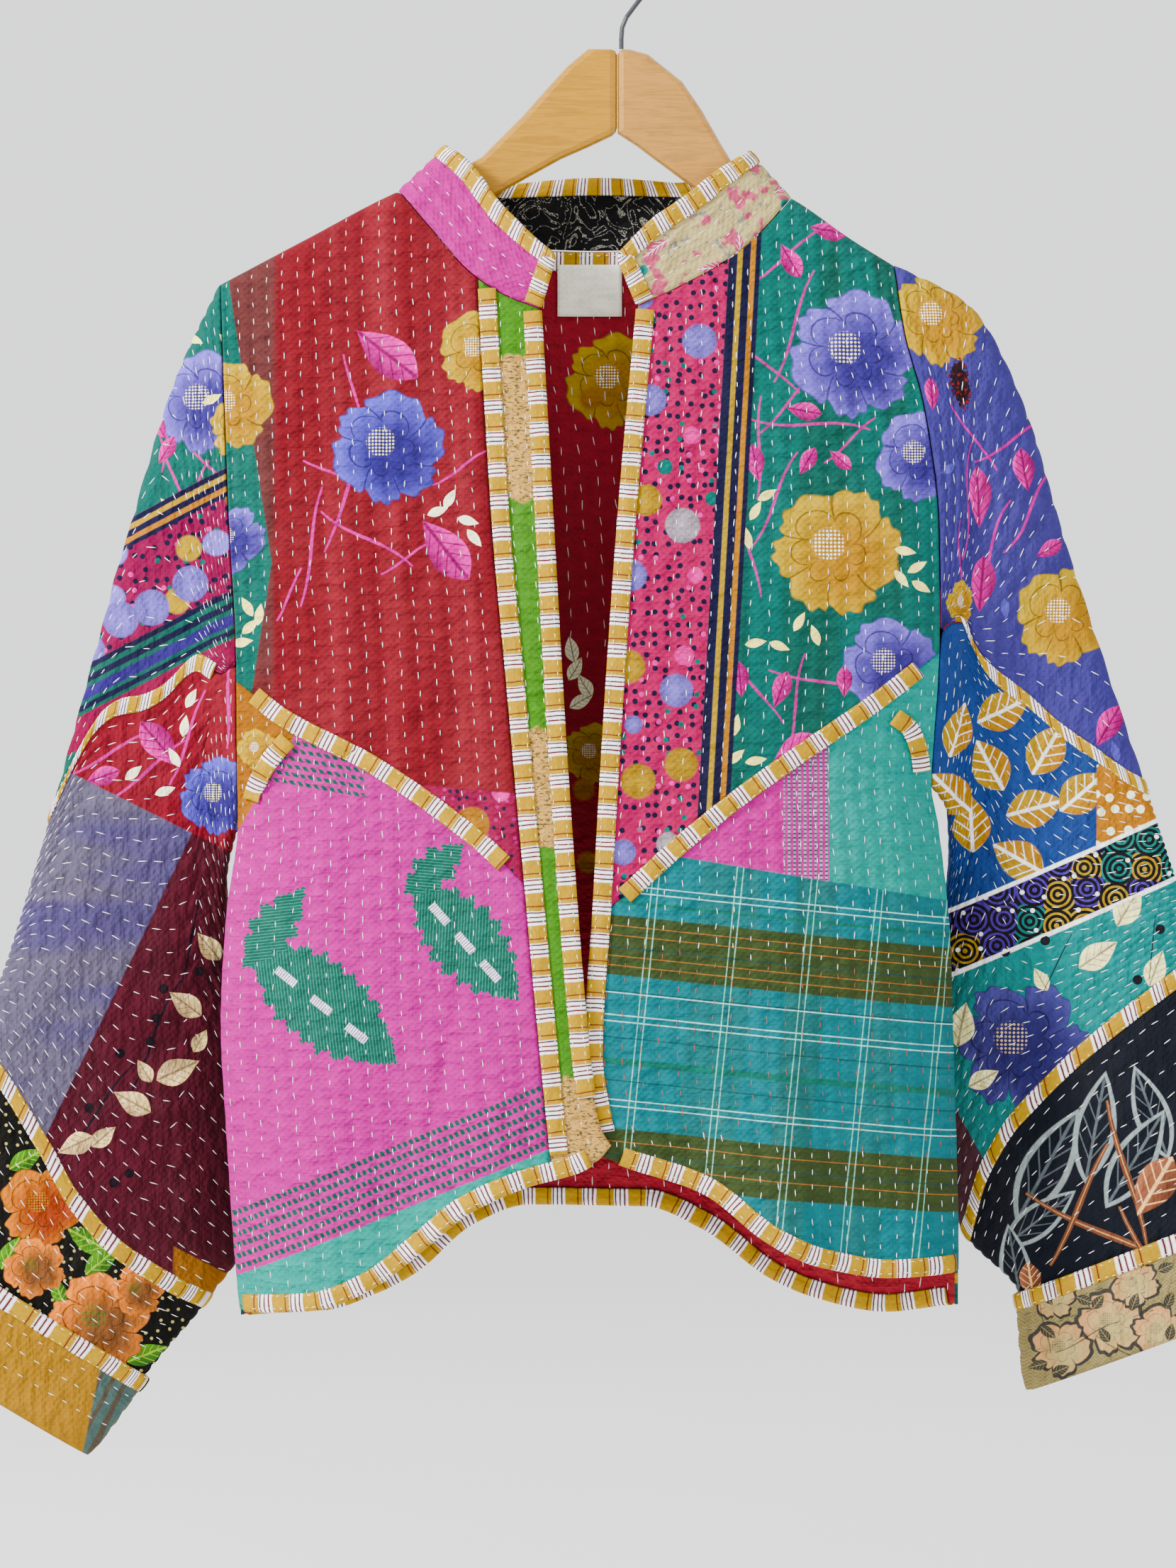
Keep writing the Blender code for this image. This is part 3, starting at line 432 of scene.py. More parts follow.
def placePiece(name, mesh, slotName):
    piece = bpy.data.objects.new(name, mesh)
    bpy.context.scene.collection.objects.link(piece)
    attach(piece, "root")
    return piece


def finishPiece(name, shape, materials, slotName):
    shape.normal_update()
    mesh = bpy.data.meshes.new(name)
    shape.to_mesh(mesh)
    shape.free()
    for material in materials:
        mesh.materials.append(material)
    mesh.shade_smooth()
    return placePiece(name, mesh, slotName)


def thicken(piece, thickness=None):
    # the cloth's inner layers, on the inside of its drawn surface
    solid = piece.modifiers.new("inner layers", "SOLIDIFY")
    solid.thickness = (thickness or clothSizes["thickness"]) * mm
    solid.offset = -1
    solid.material_offset = len(piece.data.materials) - 1
    solid.material_offset_rim = 0
    return piece


cutOf, sewnTo = {}, {}


def declareCut(piece, node):
    # keeps the width, length and area that the piece was cut to, in metres, and takes the solid's place
    mesh = piece.data
    area, flatArea = sum(face.area for face in mesh.polygons), 0.0
    flats = np.array([loop.uv for loop in mesh.uv_layers["cloth"].data])
    for face in mesh.polygons:
        corners = flats[list(face.loop_indices)]
        turned = np.roll(corners, -1, 0)
        flatArea += abs(np.sum(corners[:, 0] * turned[:, 1] - turned[:, 0] * corners[:, 1])) / 2
    cutOf[piece.name] = (flats.max(0) - flats.min(0)) * math.sqrt(area / flatArea), area
    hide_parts(node)


def sewOn(piece, panel):
    sewnTo.setdefault(panel + "_cloth", []).append(piece)


# cloth panels of the body

seamHalf = clothSizes["seamGap"] / 2
ridgeRows = (0, 0.5, 1.1, 1.8, 2.8, 4.2, 6, 8.5, 12, 16)


def edgeOf(table, shift=0.0):
    return lambda key: at(table, key) + shift


def frontTop(neck, left):
    end = neck[0][0] if left else neck[-1][0]
    return lambda x: np.where(x < end if left else x > end, at(shoulderLine, x), at(neck, x))


def backTop(x):
    return np.where((x > -129) & (x < 101), at(neckBack, x), at(shoulderLine, x))


bodyPanels = {  # side, rows of stitches, rows of the mesh, where its edges lie
    "front_left_upper": {
        "side": -1, "stitchRows": 17, "rows": 92, "ridge": True, "lapped": True, "slot": "cotton_red",
        "left": edgeOf(sideLeft), "right": edgeOf(placketSeam, -2 * seamHalf),
        "top": frontTop(neckLeft, True), "bottom": edgeOf(seamLeft, seamHalf),
    },
    "front_left_lower": {
        "side": -1, "stitchRows": 18, "rows": 84, "ridge": False, "lapped": True, "slot": "cotton_pink",
        "left": edgeOf(sideLeft), "right": edgeOf(placketSeam, -2 * seamHalf),
        "top": edgeOf(seamLeft, -seamHalf), "bottom": edgeOf(hemFrontLeft),
    },
    "placket": {
        "side": -1, "stitchRows": 3, "rows": 130, "ridge": False, "lapped": True, "slot": "cotton_green",
        "left": edgeOf(placketSeam, seamHalf), "right": edgeOf(frontEdgeLeft),
        "top": edgeOf(neckLeft), "bottom": edgeOf(hemFrontLeft),
    },
    "front_right_upper": {
        "side": -1, "stitchRows": 18, "rows": 96, "ridge": True, "lapped": False, "slot": "cotton_teal",
        "left": edgeOf(frontEdgeRight), "right": edgeOf(sideRight),
        "top": frontTop(neckRight, False), "bottom": edgeOf(seamRight, seamHalf),
    },
    "front_right_lower": {
        "side": -1, "stitchRows": 22, "rows": 80, "ridge": False, "lapped": False,
        "slot": "cotton_turquoise",
        "left": edgeOf(frontEdgeRight), "right": edgeOf(sideRight),
        "top": edgeOf(seamRight, -seamHalf), "bottom": edgeOf(hemFrontRight),
    },
    "back": {
        "side": 1, "stitchRows": 44, "rows": 160, "ridge": True, "lapped": False, "slot": "cotton_maroon",
        "left": edgeOf(sideLeft), "right": edgeOf(sideRight),
        "top": backTop, "bottom": edgeOf(hemBack),
    },
}


def panelPlace(cut, share, down):
    # down is 0 at the panel's top edge and 1 at its bottom one
    x = mix(cut["left"](-450.0), cut["right"](-450.0), share)
    for _ in range(26):
        top = cut["top"](x)
        height = top - cut["bottom"](x)
        if cut["ridge"]:
            j = down * cut["rows"]
            last = len(ridgeRows) - 1
            rest = ridgeRows[-1] + (height - ridgeRows[-1]) * (j - last) / (cut["rows"] - last)
            fall = np.where(j < last, np.interp(j, range(len(ridgeRows)), ridgeRows), rest)
        else:
            fall = height * down
        z = top - fall
        low, high = bodyShare(cut["left"](z), z), bodyShare(cut["right"](z), z)
        x = (x + bodyX(mix(low, high, share), z)) / 2
    return x, z


def pucker(phase):
    return clothSizes["pucker"] * np.abs(np.sin(np.pi * phase)) ** 0.75


def makeBodyPanel(name):
    cut = bodyPanels[name]
    columns, rows = cut["stitchRows"] * perRow, cut["rows"]

    def place(i, j):
        x, z = panelPlace(cut, i / columns, j / rows)
        lift = pucker(i / perRow) + smallWaves(x, z)
        lift = lift * ease(np.minimum(j, 6) / 6)
        return bodyWall(x, z, cut["side"], lift, cut["lapped"])

    def flatPlace(i, j):
        return np.stack(panelPlace(cut, i / columns, j / rows), -1)

    shape = gridShape(columns, rows, place, flatPlace)
    turnOutwards(shape, lambda point: Vector((0, cut["side"], 0)))
    materials = [cloths[name], cloths["lining"]]
    return thicken(finishPiece(name + "_cloth", shape, materials, cut["slot"]))


# sewing

def stitchForm():
    shape = bmesh.new()
    bmesh.ops.create_icosphere(shape, subdivisions=1, radius=0.5)
    shape.verts.index_update()
    corners = np.array([vertex.co for vertex in shape.verts])
    faces = np.array([[vertex.index for vertex in face.verts] for face in shape.faces])
    shape.free()
    return corners, faces


stitchCorners, stitchFaces = stitchForm()
byHand = {  # how uneven the stitches are
    "length": (0.72, 1.22), "gap": (0.82, 1.2),  # shares of their sizes
    "sway": 0.16,  # out of the row's direction
    "aside": 0.4,  # out of the row, in millimetres
    "proud": 0.12,  # over the cloth
}


def sewStitches(name, centres, ways, normals, lengths, width, material, slotName):
    # one joined mesh of small rounded threads lying along ways
    ways = unit(ways)
    asides = unit(np.cross(normals, ways))
    ups = np.cross(ways, asides)
    sizes = np.stack((lengths, np.full_like(lengths, width), np.full_like(lengths, width * 0.8)), -1)
    local = stitchCorners[None] * sizes[:, None]
    frameOf = np.stack((ways, asides, ups), 1)
    corners = centres[:, None] + np.einsum("nkj,nji->nki", local, frameOf)
    faces = stitchFaces[None] + (np.arange(len(centres)) * len(stitchCorners))[:, None, None]
    mesh = bpy.data.meshes.new(name)
    mesh.from_pydata((corners.reshape(-1, 3) * mm).tolist(), [], faces.reshape(-1, 3).tolist())
    mesh.materials.append(material)
    mesh.shade_smooth()
    return placePiece(name, mesh, slotName)


def stitchPlaces(line, every, length, seed, margin=7.0):
    # line(t) gives places for shares 0 to 1; the stitches' shares come back as (middle, length)
    ts = np.linspace(0, 1, 160)
    points = line(ts)
    far = np.concatenate(([0], np.cumsum(np.linalg.norm(np.diff(points, axis=0), axis=1))))
    chance = random.Random(seed)
    found, lengths = [], []
    reached = margin + chance.uniform(0, every)
    while reached < far[-1] - margin:
        found.append(np.interp(reached, far, ts))
        lengths.append(length * chance.uniform(*byHand["length"]))
        reached += every * chance.uniform(*byHand["gap"])
    return np.array(found), np.array(lengths)


def sewRows(
    name, lines, walls, every=clothSizes["stitchEvery"], thread="white", slotName="cotton_cream",
    length=clothSizes["stitchLength"], width=clothSizes["stitchWidth"], keep=None,
):
    # lines: functions of t giving the surface's places; walls: the same lifted a little, for the normals
    centres, ways, normals, lengths = [], [], [], []
    for n, (line, lifted) in enumerate(zip(lines, walls)):
        ts, sizes = stitchPlaces(line, every, length, (len(name) * 131 + n * 17) % 9973)
        if not len(ts):
            continue
        middle, up = line(ts), lifted(ts)
        way = line(np.minimum(ts + 0.004, 1)) - line(np.maximum(ts - 0.004, 0))
        turn = random.Random(n * 31 + len(name))
        sway, aside = (
            np.array([turn.uniform(-byHand[key], byHand[key]) for _ in ts]) for key in ("sway", "aside")
        )
        normal = unit(up - middle)
        way = unit(way) + np.cross(normal, unit(way)) * sway[:, None]
        use = keep(middle) if keep else np.ones(len(ts), bool)
        middle = middle + np.cross(normal, unit(way)) * aside[:, None]
        centres.append(middle[use] + normal[use] * byHand["proud"])
        ways.append(way[use])
        normals.append(normal[use])
        lengths.append(sizes[use])
    return sewStitches(
        name, np.concatenate(centres), np.concatenate(ways), np.concatenate(normals),
        np.concatenate(lengths), width, threads[thread], slotName,
    )


# shader nodes

softEdge = 0.0006  # how soft the prints' edges are, in metres


class Value:
    # a node's output; a sum or product of such values is a maths node of its own
    def __init__(self, desk, socket):
        self.desk, self.socket = desk, socket

    def __abs__(self):
        return self.desk.maths("ABSOLUTE", self)

    def __add__(self, other):
        return self.desk.maths("ADD", self, other)

    def __radd__(self, other):
        return self.desk.maths("ADD", other, self)

    def __sub__(self, other):
        return self.desk.maths("SUBTRACT", self, other)

    def __rsub__(self, other):
        return self.desk.maths("SUBTRACT", other, self)

    def __mul__(self, other):
        return self.desk.maths("MULTIPLY", self, other)

    def __rmul__(self, other):
        return self.desk.maths("MULTIPLY", other, self)

    def __truediv__(self, other):
        return self.desk.maths("DIVIDE", self, other)

    def __rtruediv__(self, other):
        return self.desk.maths("DIVIDE", other, self)


class NodeDesk:
    # lays nodes out in columns and joins them; what goes into a node is a number, a tuple or a Value
    def __init__(self, tree):
        self.tree, self.count = tree, 0

    def add(self, kind, **settings):
        node = self.tree.nodes.new(kind)
        node.location = (190 * (self.count // 6), -170 * (self.count % 6))
        self.count += 1
        for key, value in settings.items():
            setattr(node, key, value)
        return node

    def feed(self, socket, value):
        if isinstance(value, Value):
            self.tree.links.new(value.socket, socket)
        elif value is not None:
            if socket.type == "RGBA" and len(value) == 3:
                value = (*value, 1)
            if socket.type == "VECTOR" and len(value) == 2:
                value = (*value, 0)
            socket.default_value = value

    def fill(self, node, **values):
        for name, value in values.items():
            self.feed(node.inputs[name.replace("_", " ")], value)
        return node

    def outputs(self, node):
        return {socket.name: Value(self, socket) for socket in node.outputs if socket.enabled}

    def made(self, node, values=(), output=0):
        for socket, value in zip(node.inputs, values):
            self.feed(socket, value)
        return Value(self, node.outputs[output])

    def maths(self, how, a, b=None, c=None):
        return self.made(self.add("ShaderNodeMath", operation=how), (a, b, c))

    def scaled(self, value, factor, plus):
        return self.maths("MULTIPLY_ADD", value, factor, plus)

    def clip(self, value):
        # keeps the value from 0 to 1
        value.socket.node.use_clamp = True
        return value

    def vector(self, how, a, b=None):
        node = self.add("ShaderNodeVectorMath", operation=how)
        if how == "SCALE":
            self.fill(node, Scale=b)
            b = None
        return self.made(node, (a, b), "Value" if how in ("LENGTH", "DISTANCE", "DOT_PRODUCT") else "Vector")

    def parts(self, place):
        node = self.add("ShaderNodeSeparateXYZ")
        return self.made(node, (place,)), Value(self, node.outputs[1])

    def turned(self, offset, way):
        # how far the offset lies along the unit vector way, and to its left
        left = self.vector("CROSS_PRODUCT", (0.0, 0.0, 1.0), way)
        return self.vector("DOT_PRODUCT", offset, way), self.vector("DOT_PRODUCT", offset, left)

    def paint(self, under, mask, colour, how="MIX"):
        node = self.add("ShaderNodeMix", data_type="RGBA", blend_type=how)
        for slot, value in ((0, mask), (6, under), (7, colour)):
            self.feed(node.inputs[slot], value)
        return Value(self, node.outputs[2])

    def edge(self, value, start, soft=softEdge):
        # 1 where value is over start, with a soft edge
        return self.clip(self.scaled(value - start, 1 / soft, 0.5))

    def under(self, value, end, soft=softEdge):
        return 1.0 - self.edge(value, end, soft)

    def band(self, value, low, high, soft=softEdge):
        return self.under(abs(value - (low + high) / 2), (high - low) / 2, soft)

    def either(self, a, b):
        return self.maths("MAXIMUM", a, b)

    def noise(self, place, scale, detail=2.0, rough=0.5, warp=0.0):
        node = self.add("ShaderNodeTexNoise")
        self.fill(node, Vector=place, Scale=scale, Detail=detail, Roughness=rough, Distortion=warp)
        return self.outputs(node)["Fac"]

    def drawnOut(self, place, x, y):
        # the place scaled on its two axes, to draw a noise out along one of them
        node = self.fill(self.add("ShaderNodeMapping"), Vector=place, Scale=(x, y, 1.0))
        return Value(self, node.outputs[0])

    def cells(self, place, scale, scatter):
        node = self.add("ShaderNodeTexVoronoi", voronoi_dimensions="2D")
        return self.outputs(self.fill(node, Vector=place, Scale=scale, Randomness=scatter))

    def chances(self, cells):
        # two random numbers of a cell
        node = self.add("ShaderNodeSeparateColor")
        return self.made(node, (cells["Color"],)), Value(self, node.outputs[1])

    def objectPlace(self):
        return self.outputs(self.add("ShaderNodeTexCoord"))["Object"]

    def use(self, group, **values):
        node = self.add("ShaderNodeGroup")
        node.node_tree = group
        return self.outputs(self.fill(node, **values))

    def give(self, **values):
        self.fill(self.end, **values)
        return self.tree


def nodeGroup(name, outputs, **inputs):
    # an input's kind follows its first value: a number, a place of three or a colour of four
    tree = bpy.data.node_groups.new(name, "ShaderNodeTree")
    for label, first in inputs.items():
        kind = "Float" if isinstance(first, float) else {3: "Vector", 4: "Color"}[len(first)]
        socket = tree.interface.new_socket(label, in_out="INPUT", socket_type="NodeSocket" + kind)
        socket.default_value = first
    for label in outputs:
        kind = "Color" if label == "Colour" else "Float"
        tree.interface.new_socket(label, in_out="OUTPUT", socket_type="NodeSocket" + kind)
    desk = NodeDesk(tree)
    start, desk.end = desk.add("NodeGroupInput"), desk.add("NodeGroupOutput")
    return desk, desk.outputs(start)


origin, eastward = (0.0, 0.0, 0.0), (1.0, 0.0, 0.0)


def makeFlowerGroup():
    # a round flower of lobed petals about a dotted heart
    desk, given = nodeGroup(
        "flower", ("Petal", "Heart", "Line", "Shade"),
        Place=origin, Centre=origin, Size=0.03, Turn=0.0, Petals=5.0, Notch=0.22,
    )
    offset = desk.vector("SUBTRACT", given["Place"], given["Centre"])
    local = desk.vector("SCALE", offset, 1.0 / given["Size"])
    far = desk.vector("LENGTH", local)
    x, y = desk.parts(local)
    angle = desk.maths("ARCTAN2", y, x) + given["Turn"]
    sway = desk.maths("SINE", desk.scaled(x, 3.1, given["Turn"]))
    roll = desk.maths("SINE", desk.scaled(y, 2.7, given["Turn"] * 5.0))
    wobble = desk.scaled(sway + roll, 0.2, 0.5)
    lobes = desk.scaled(wobble, 0.9, angle) * given["Petals"]
    hump = abs(desk.maths("COSINE", lobes * 0.5))
    soft = desk.maths("POWER", hump, 0.45)
    dip = (1.0 - soft) * given["Notch"]
    frill = desk.maths("SINE", lobes * 3.0) * 0.035
    rim = 1.0 - dip + frill
    inside = rim - far
    petal = desk.clip(inside * 45.0)
    column = desk.maths("SINE", (x + y) * 52.0)
    row = desk.maths("SINE", (x - y) * 52.0)
    dot = desk.edge(column * row, 0.3, 0.2)
    aside = desk.vector("LENGTH", desk.vector("ADD", local, (0.13, -0.1, 0.0)))
    heart = dot * desk.clip((0.27 - aside) * 18.0)
    # a second ring of petals inside the first gives the drawn lines
    second = abs(aside - desk.scaled(soft, 0.3, 0.3))
    line = desk.clip((0.022 - second) * 60.0)
    seam = desk.clip((0.10 - hump) * 14.0)
    seam = seam * desk.clip((far - 0.42) * 12.0)
    outline = desk.clip((0.035 - inside) * 50.0)
    drawn = desk.either(desk.either(line, seam), outline) * petal
    shade = desk.scaled(far / rim * (far / rim), 1.1, (y - x) * 0.35)
    return desk.give(Petal=petal, Heart=heart, Line=drawn, Shade=desk.clip(shade - 0.1))


def makeLeafGroup():
    # a pointed leaf or bud along its own x axis, with a vein down it
    desk, given = nodeGroup(
        "leaf", ("Blade", "Vein", "Shade"),
        Place=origin, Centre=origin, Length=0.03, Width=0.012, Way=eastward, Fat=0.3,
    )
    x, y = desk.turned(desk.vector("SUBTRACT", given["Place"], given["Centre"]), given["Way"])
    along = x * 2.0 / given["Length"]
    across = y * 2.0 / given["Width"]
    belly = desk.clip(1.0 - along * along)
    wide = belly * (1.0 - along * given["Fat"])
    side = abs(across)
    inside = wide - side
    blade = desk.clip(inside * 16.0)
    middle = desk.under(side, 0.09, 0.05)
    ribs = desk.edge(desk.maths("SINE", desk.scaled(along, 17.0, side * -9.0)), 0.9, 0.2)
    vein = desk.either(middle, ribs) * desk.clip(inside * 9.0)
    return desk.give(Blade=blade, Vein=vein, Shade=desk.clip(desk.scaled(across, 0.5, 0.5)))


def makeStemGroup():
    # a curling stem: x runs along it, Bend is how far it sways and Wave how often
    desk, given = nodeGroup(
        "stem", ("Stem",),
        Place=origin, Centre=origin, Length=0.1, Way=eastward, Bend=0.01, Wave=60.0, Width=0.0014,
    )
    x, y = desk.turned(desk.vector("SUBTRACT", given["Place"], given["Centre"]), given["Way"])
    sway = desk.maths("SINE", x * given["Wave"]) * given["Bend"]
    far = abs(y - sway)
    left = given["Length"] * 0.5 - abs(x)
    thin = given["Width"] * desk.clip(desk.scaled(left, 9.0, 0.45))
    stem = desk.clip((thin - far) * 2200.0)
    return desk.give(Stem=stem * desk.clip(left * 1500.0))


def makeScatterGroup():
    # leaves or buds strewn at all angles over the cloth
    desk, given = nodeGroup(
        "scatteredLeaves", ("Blade", "Vein"), Place=origin, Scale=25.0, Length=0.014, Width=0.006, Share=0.6,
    )
    cells = desk.cells(given["Place"], given["Scale"], 0.8)
    red, green = desk.chances(cells)
    turn = red * 6.283
    way = desk.add("ShaderNodeCombineXYZ")
    way = desk.made(way, (desk.maths("COSINE", turn), desk.maths("SINE", turn)))
    leaf = desk.use(
        leafGroup, Place=given["Place"], Centre=cells["Position"], Length=given["Length"],
        Width=given["Width"], Way=way, Fat=0.35,
    )
    kept = desk.maths("LESS_THAN", green, given["Share"])
    return desk.give(Blade=leaf["Blade"] * kept, Vein=leaf["Vein"] * kept)


def makeSpotsGroup():
    # round spots, each with its own random number
    desk, given = nodeGroup(
        "spots", ("Spot", "Chance", "Shade"), Place=origin, Scale=100.0, Size=0.3, Share=1.0, Scatter=0.7,
    )
    cells = desk.cells(given["Place"], given["Scale"], given["Scatter"])
    red, green = desk.chances(cells)
    spot = desk.clip((given["Size"] - cells["Distance"]) * 22.0)
    spot = spot * desk.maths("LESS_THAN", green, given["Share"])
    _, y = desk.parts(desk.vector("SUBTRACT", given["Place"], cells["Position"]))
    return desk.give(Spot=spot, Chance=red, Shade=desk.clip(desk.scaled(y * given["Scale"], 0.9, 0.5)))


weave = {  # scales are waves or grains to the metre, shades and heights are shares
    "slubScale": 900.0, "wornScale": 16.0, "streakScale": 42.0, "wrinkleScale": 150.0, "bulgeScale": 48.0,
    # the wrinkle shade below is painted shade: it darkens the colour in the wrinkles' hollows
    "threadShade": 0.045, "slubShade": 0.26, "wrinklePaintedShade": 0.62, "plainShade": 0.74,
    "threadHeight": 0.03, "slubHeight": 0.045, "wrinkleHeight": 0.85, "bulgeHeight": 0.7,
    "fadedTo": (0.25, 0.2, 0.19), "fadedShare": 0.3,
}


def makeWeaveGroup():
    # the woven cotton itself: threads, slubs, fading and small wrinkles between the stitches, with painted
    # shade darkening the wrinkles' hollows
    desk, given = nodeGroup(
        "wovenCotton", ("Colour", "Height"),
        Colour=(1.0, 1.0, 1.0, 1.0), Place=origin, Threads=1500.0, Fading=0.2, RowsAcross=0.0,
    )
    place = given["Place"]
    x, y = desk.parts(place)
    cloth = desk.maths("SINE", x * given["Threads"]) * desk.maths("SINE", y * given["Threads"])
    slub = desk.noise(desk.drawnOut(place, 1.0, 0.06), weave["slubScale"], 1.0)
    slubAcross = desk.noise(desk.drawnOut(place, 0.06, 1.0), weave["slubScale"], 1.0)
    worn = desk.noise(place, weave["wornScale"], 4.0, 0.62)
    streak = desk.noise(desk.drawnOut(place, 1.0, 0.12), weave["streakScale"], 2.0)
    value = cloth * weave["threadShade"] + (slub + slubAcross) * weave["slubShade"] + weave["plainShade"]
    fade = desk.clip(worn + streak - 0.9) * given["Fading"]
    paler = desk.paint(given["Colour"], desk.clip(fade * weave["fadedShare"]), weave["fadedTo"])
    # wrinkles run across the rows of stitches, from stitch to stitch
    down = desk.vector("MULTIPLY", place, (0.55, 1.25, 1.0))
    side = desk.vector("MULTIPLY", place, (1.25, 0.55, 1.0))
    either = desk.add("ShaderNodeMix", data_type="VECTOR")
    for slot, fed in ((0, given["RowsAcross"]), (4, down), (5, side)):
        desk.feed(either.inputs[slot], fed)
    wrinkle = desk.noise(Value(desk, either.outputs[1]), weave["wrinkleScale"], 2.0, 0.45)
    # painted shade: the colour is darker where the wrinkle noise, and with it the bump, is low, in the
    # wrinkles' hollows
    value = (value + fade) * desk.scaled(wrinkle, weave["wrinklePaintedShade"], 0.7)
    grey = desk.made(desk.add("ShaderNodeCombineColor"), (value, value, value))
    coloured = desk.paint(paler, 1.0, grey, "MULTIPLY")
    bulges = desk.noise(place, weave["bulgeScale"], 1.0)
    height = desk.scaled(bulges, weave["bulgeHeight"], wrinkle * weave["wrinkleHeight"])
    height = desk.scaled(cloth, weave["threadHeight"], height)
    height = desk.scaled(slub + slubAcross, weave["slubHeight"], height)
    return desk.give(Colour=coloured, Height=height)


flowerGroup, leafGroup, stemGroup = makeFlowerGroup(), makeLeafGroup(), makeStemGroup()
scatterGroup, spotsGroup, weaveGroup = makeScatterGroup(), makeSpotsGroup(), makeWeaveGroup()
print("pattern groups ready")


def srgb(code):
    # a colour written as six hexadecimal digits, in linear light
    parts = [int(code[n:n + 2], 16) / 255 for n in (0, 2, 4)]
    return tuple(part / 12.92 if part < 0.04045 else ((part + 0.055) / 1.055) ** 2.4 for part in parts)


def wayOf(turn):
    return math.cos(math.radians(turn)), math.sin(math.radians(turn))


planUnit = 0.4579  # the prints are laid out on a plan of the front: millimetres for each of its units


def plan(x, y):
    return planUnit * x - 361.0, -planUnit * y - 36.4


def planX(x):
    return plan(x, 0)[0] * mm


def planZ(y):
    return plan(0, y)[1] * mm


def slopeAt(turn, x, y):
    # where a place of the plan lies along the direction turn, in millimetres
    return sum(value * part for value, part in zip(plan(x, y), wayOf(turn)))


bloom = {  # deep, light, line, heart
    "blue": ("24195F", "4C44B1", "120B39", "F6ED8A"),
    "violet": ("2B2066", "6555BB", "180F40", "F6EAA7"),
    "yellow": ("966800", "AA8A06", "472B0B", "F6F6F0"),
    "brown": ("653B1A", "DA7212", "2B150A", "2E601D"),
    "orange": ("7E2B09", "B76300", "3E1408", "977700"),
    "slate": ("211D52", "3B3878", "120D37", "C7A978"),
    "charcoal": ("2B2A28", "33322D", "22211D", "2B2A28"),
    "sand": ("A49159", "B9844F", "514C41", "3E3C36"),
}
cloths = {}


def freshMaterial(name):
    # a new material, its desk and its shader
    material = bpy.data.materials.new(name)
    material.use_nodes = True
    return material, NodeDesk(material.node_tree), material.node_tree.nodes["Principled BSDF"]


cotton = {
    "threads": 1500.0,  # waves of the weave
    "bump": 0.004, "roughness": 0.86, "sheen": 0.02, "sheenRoughness": 0.5, "specular": 0.06,
}


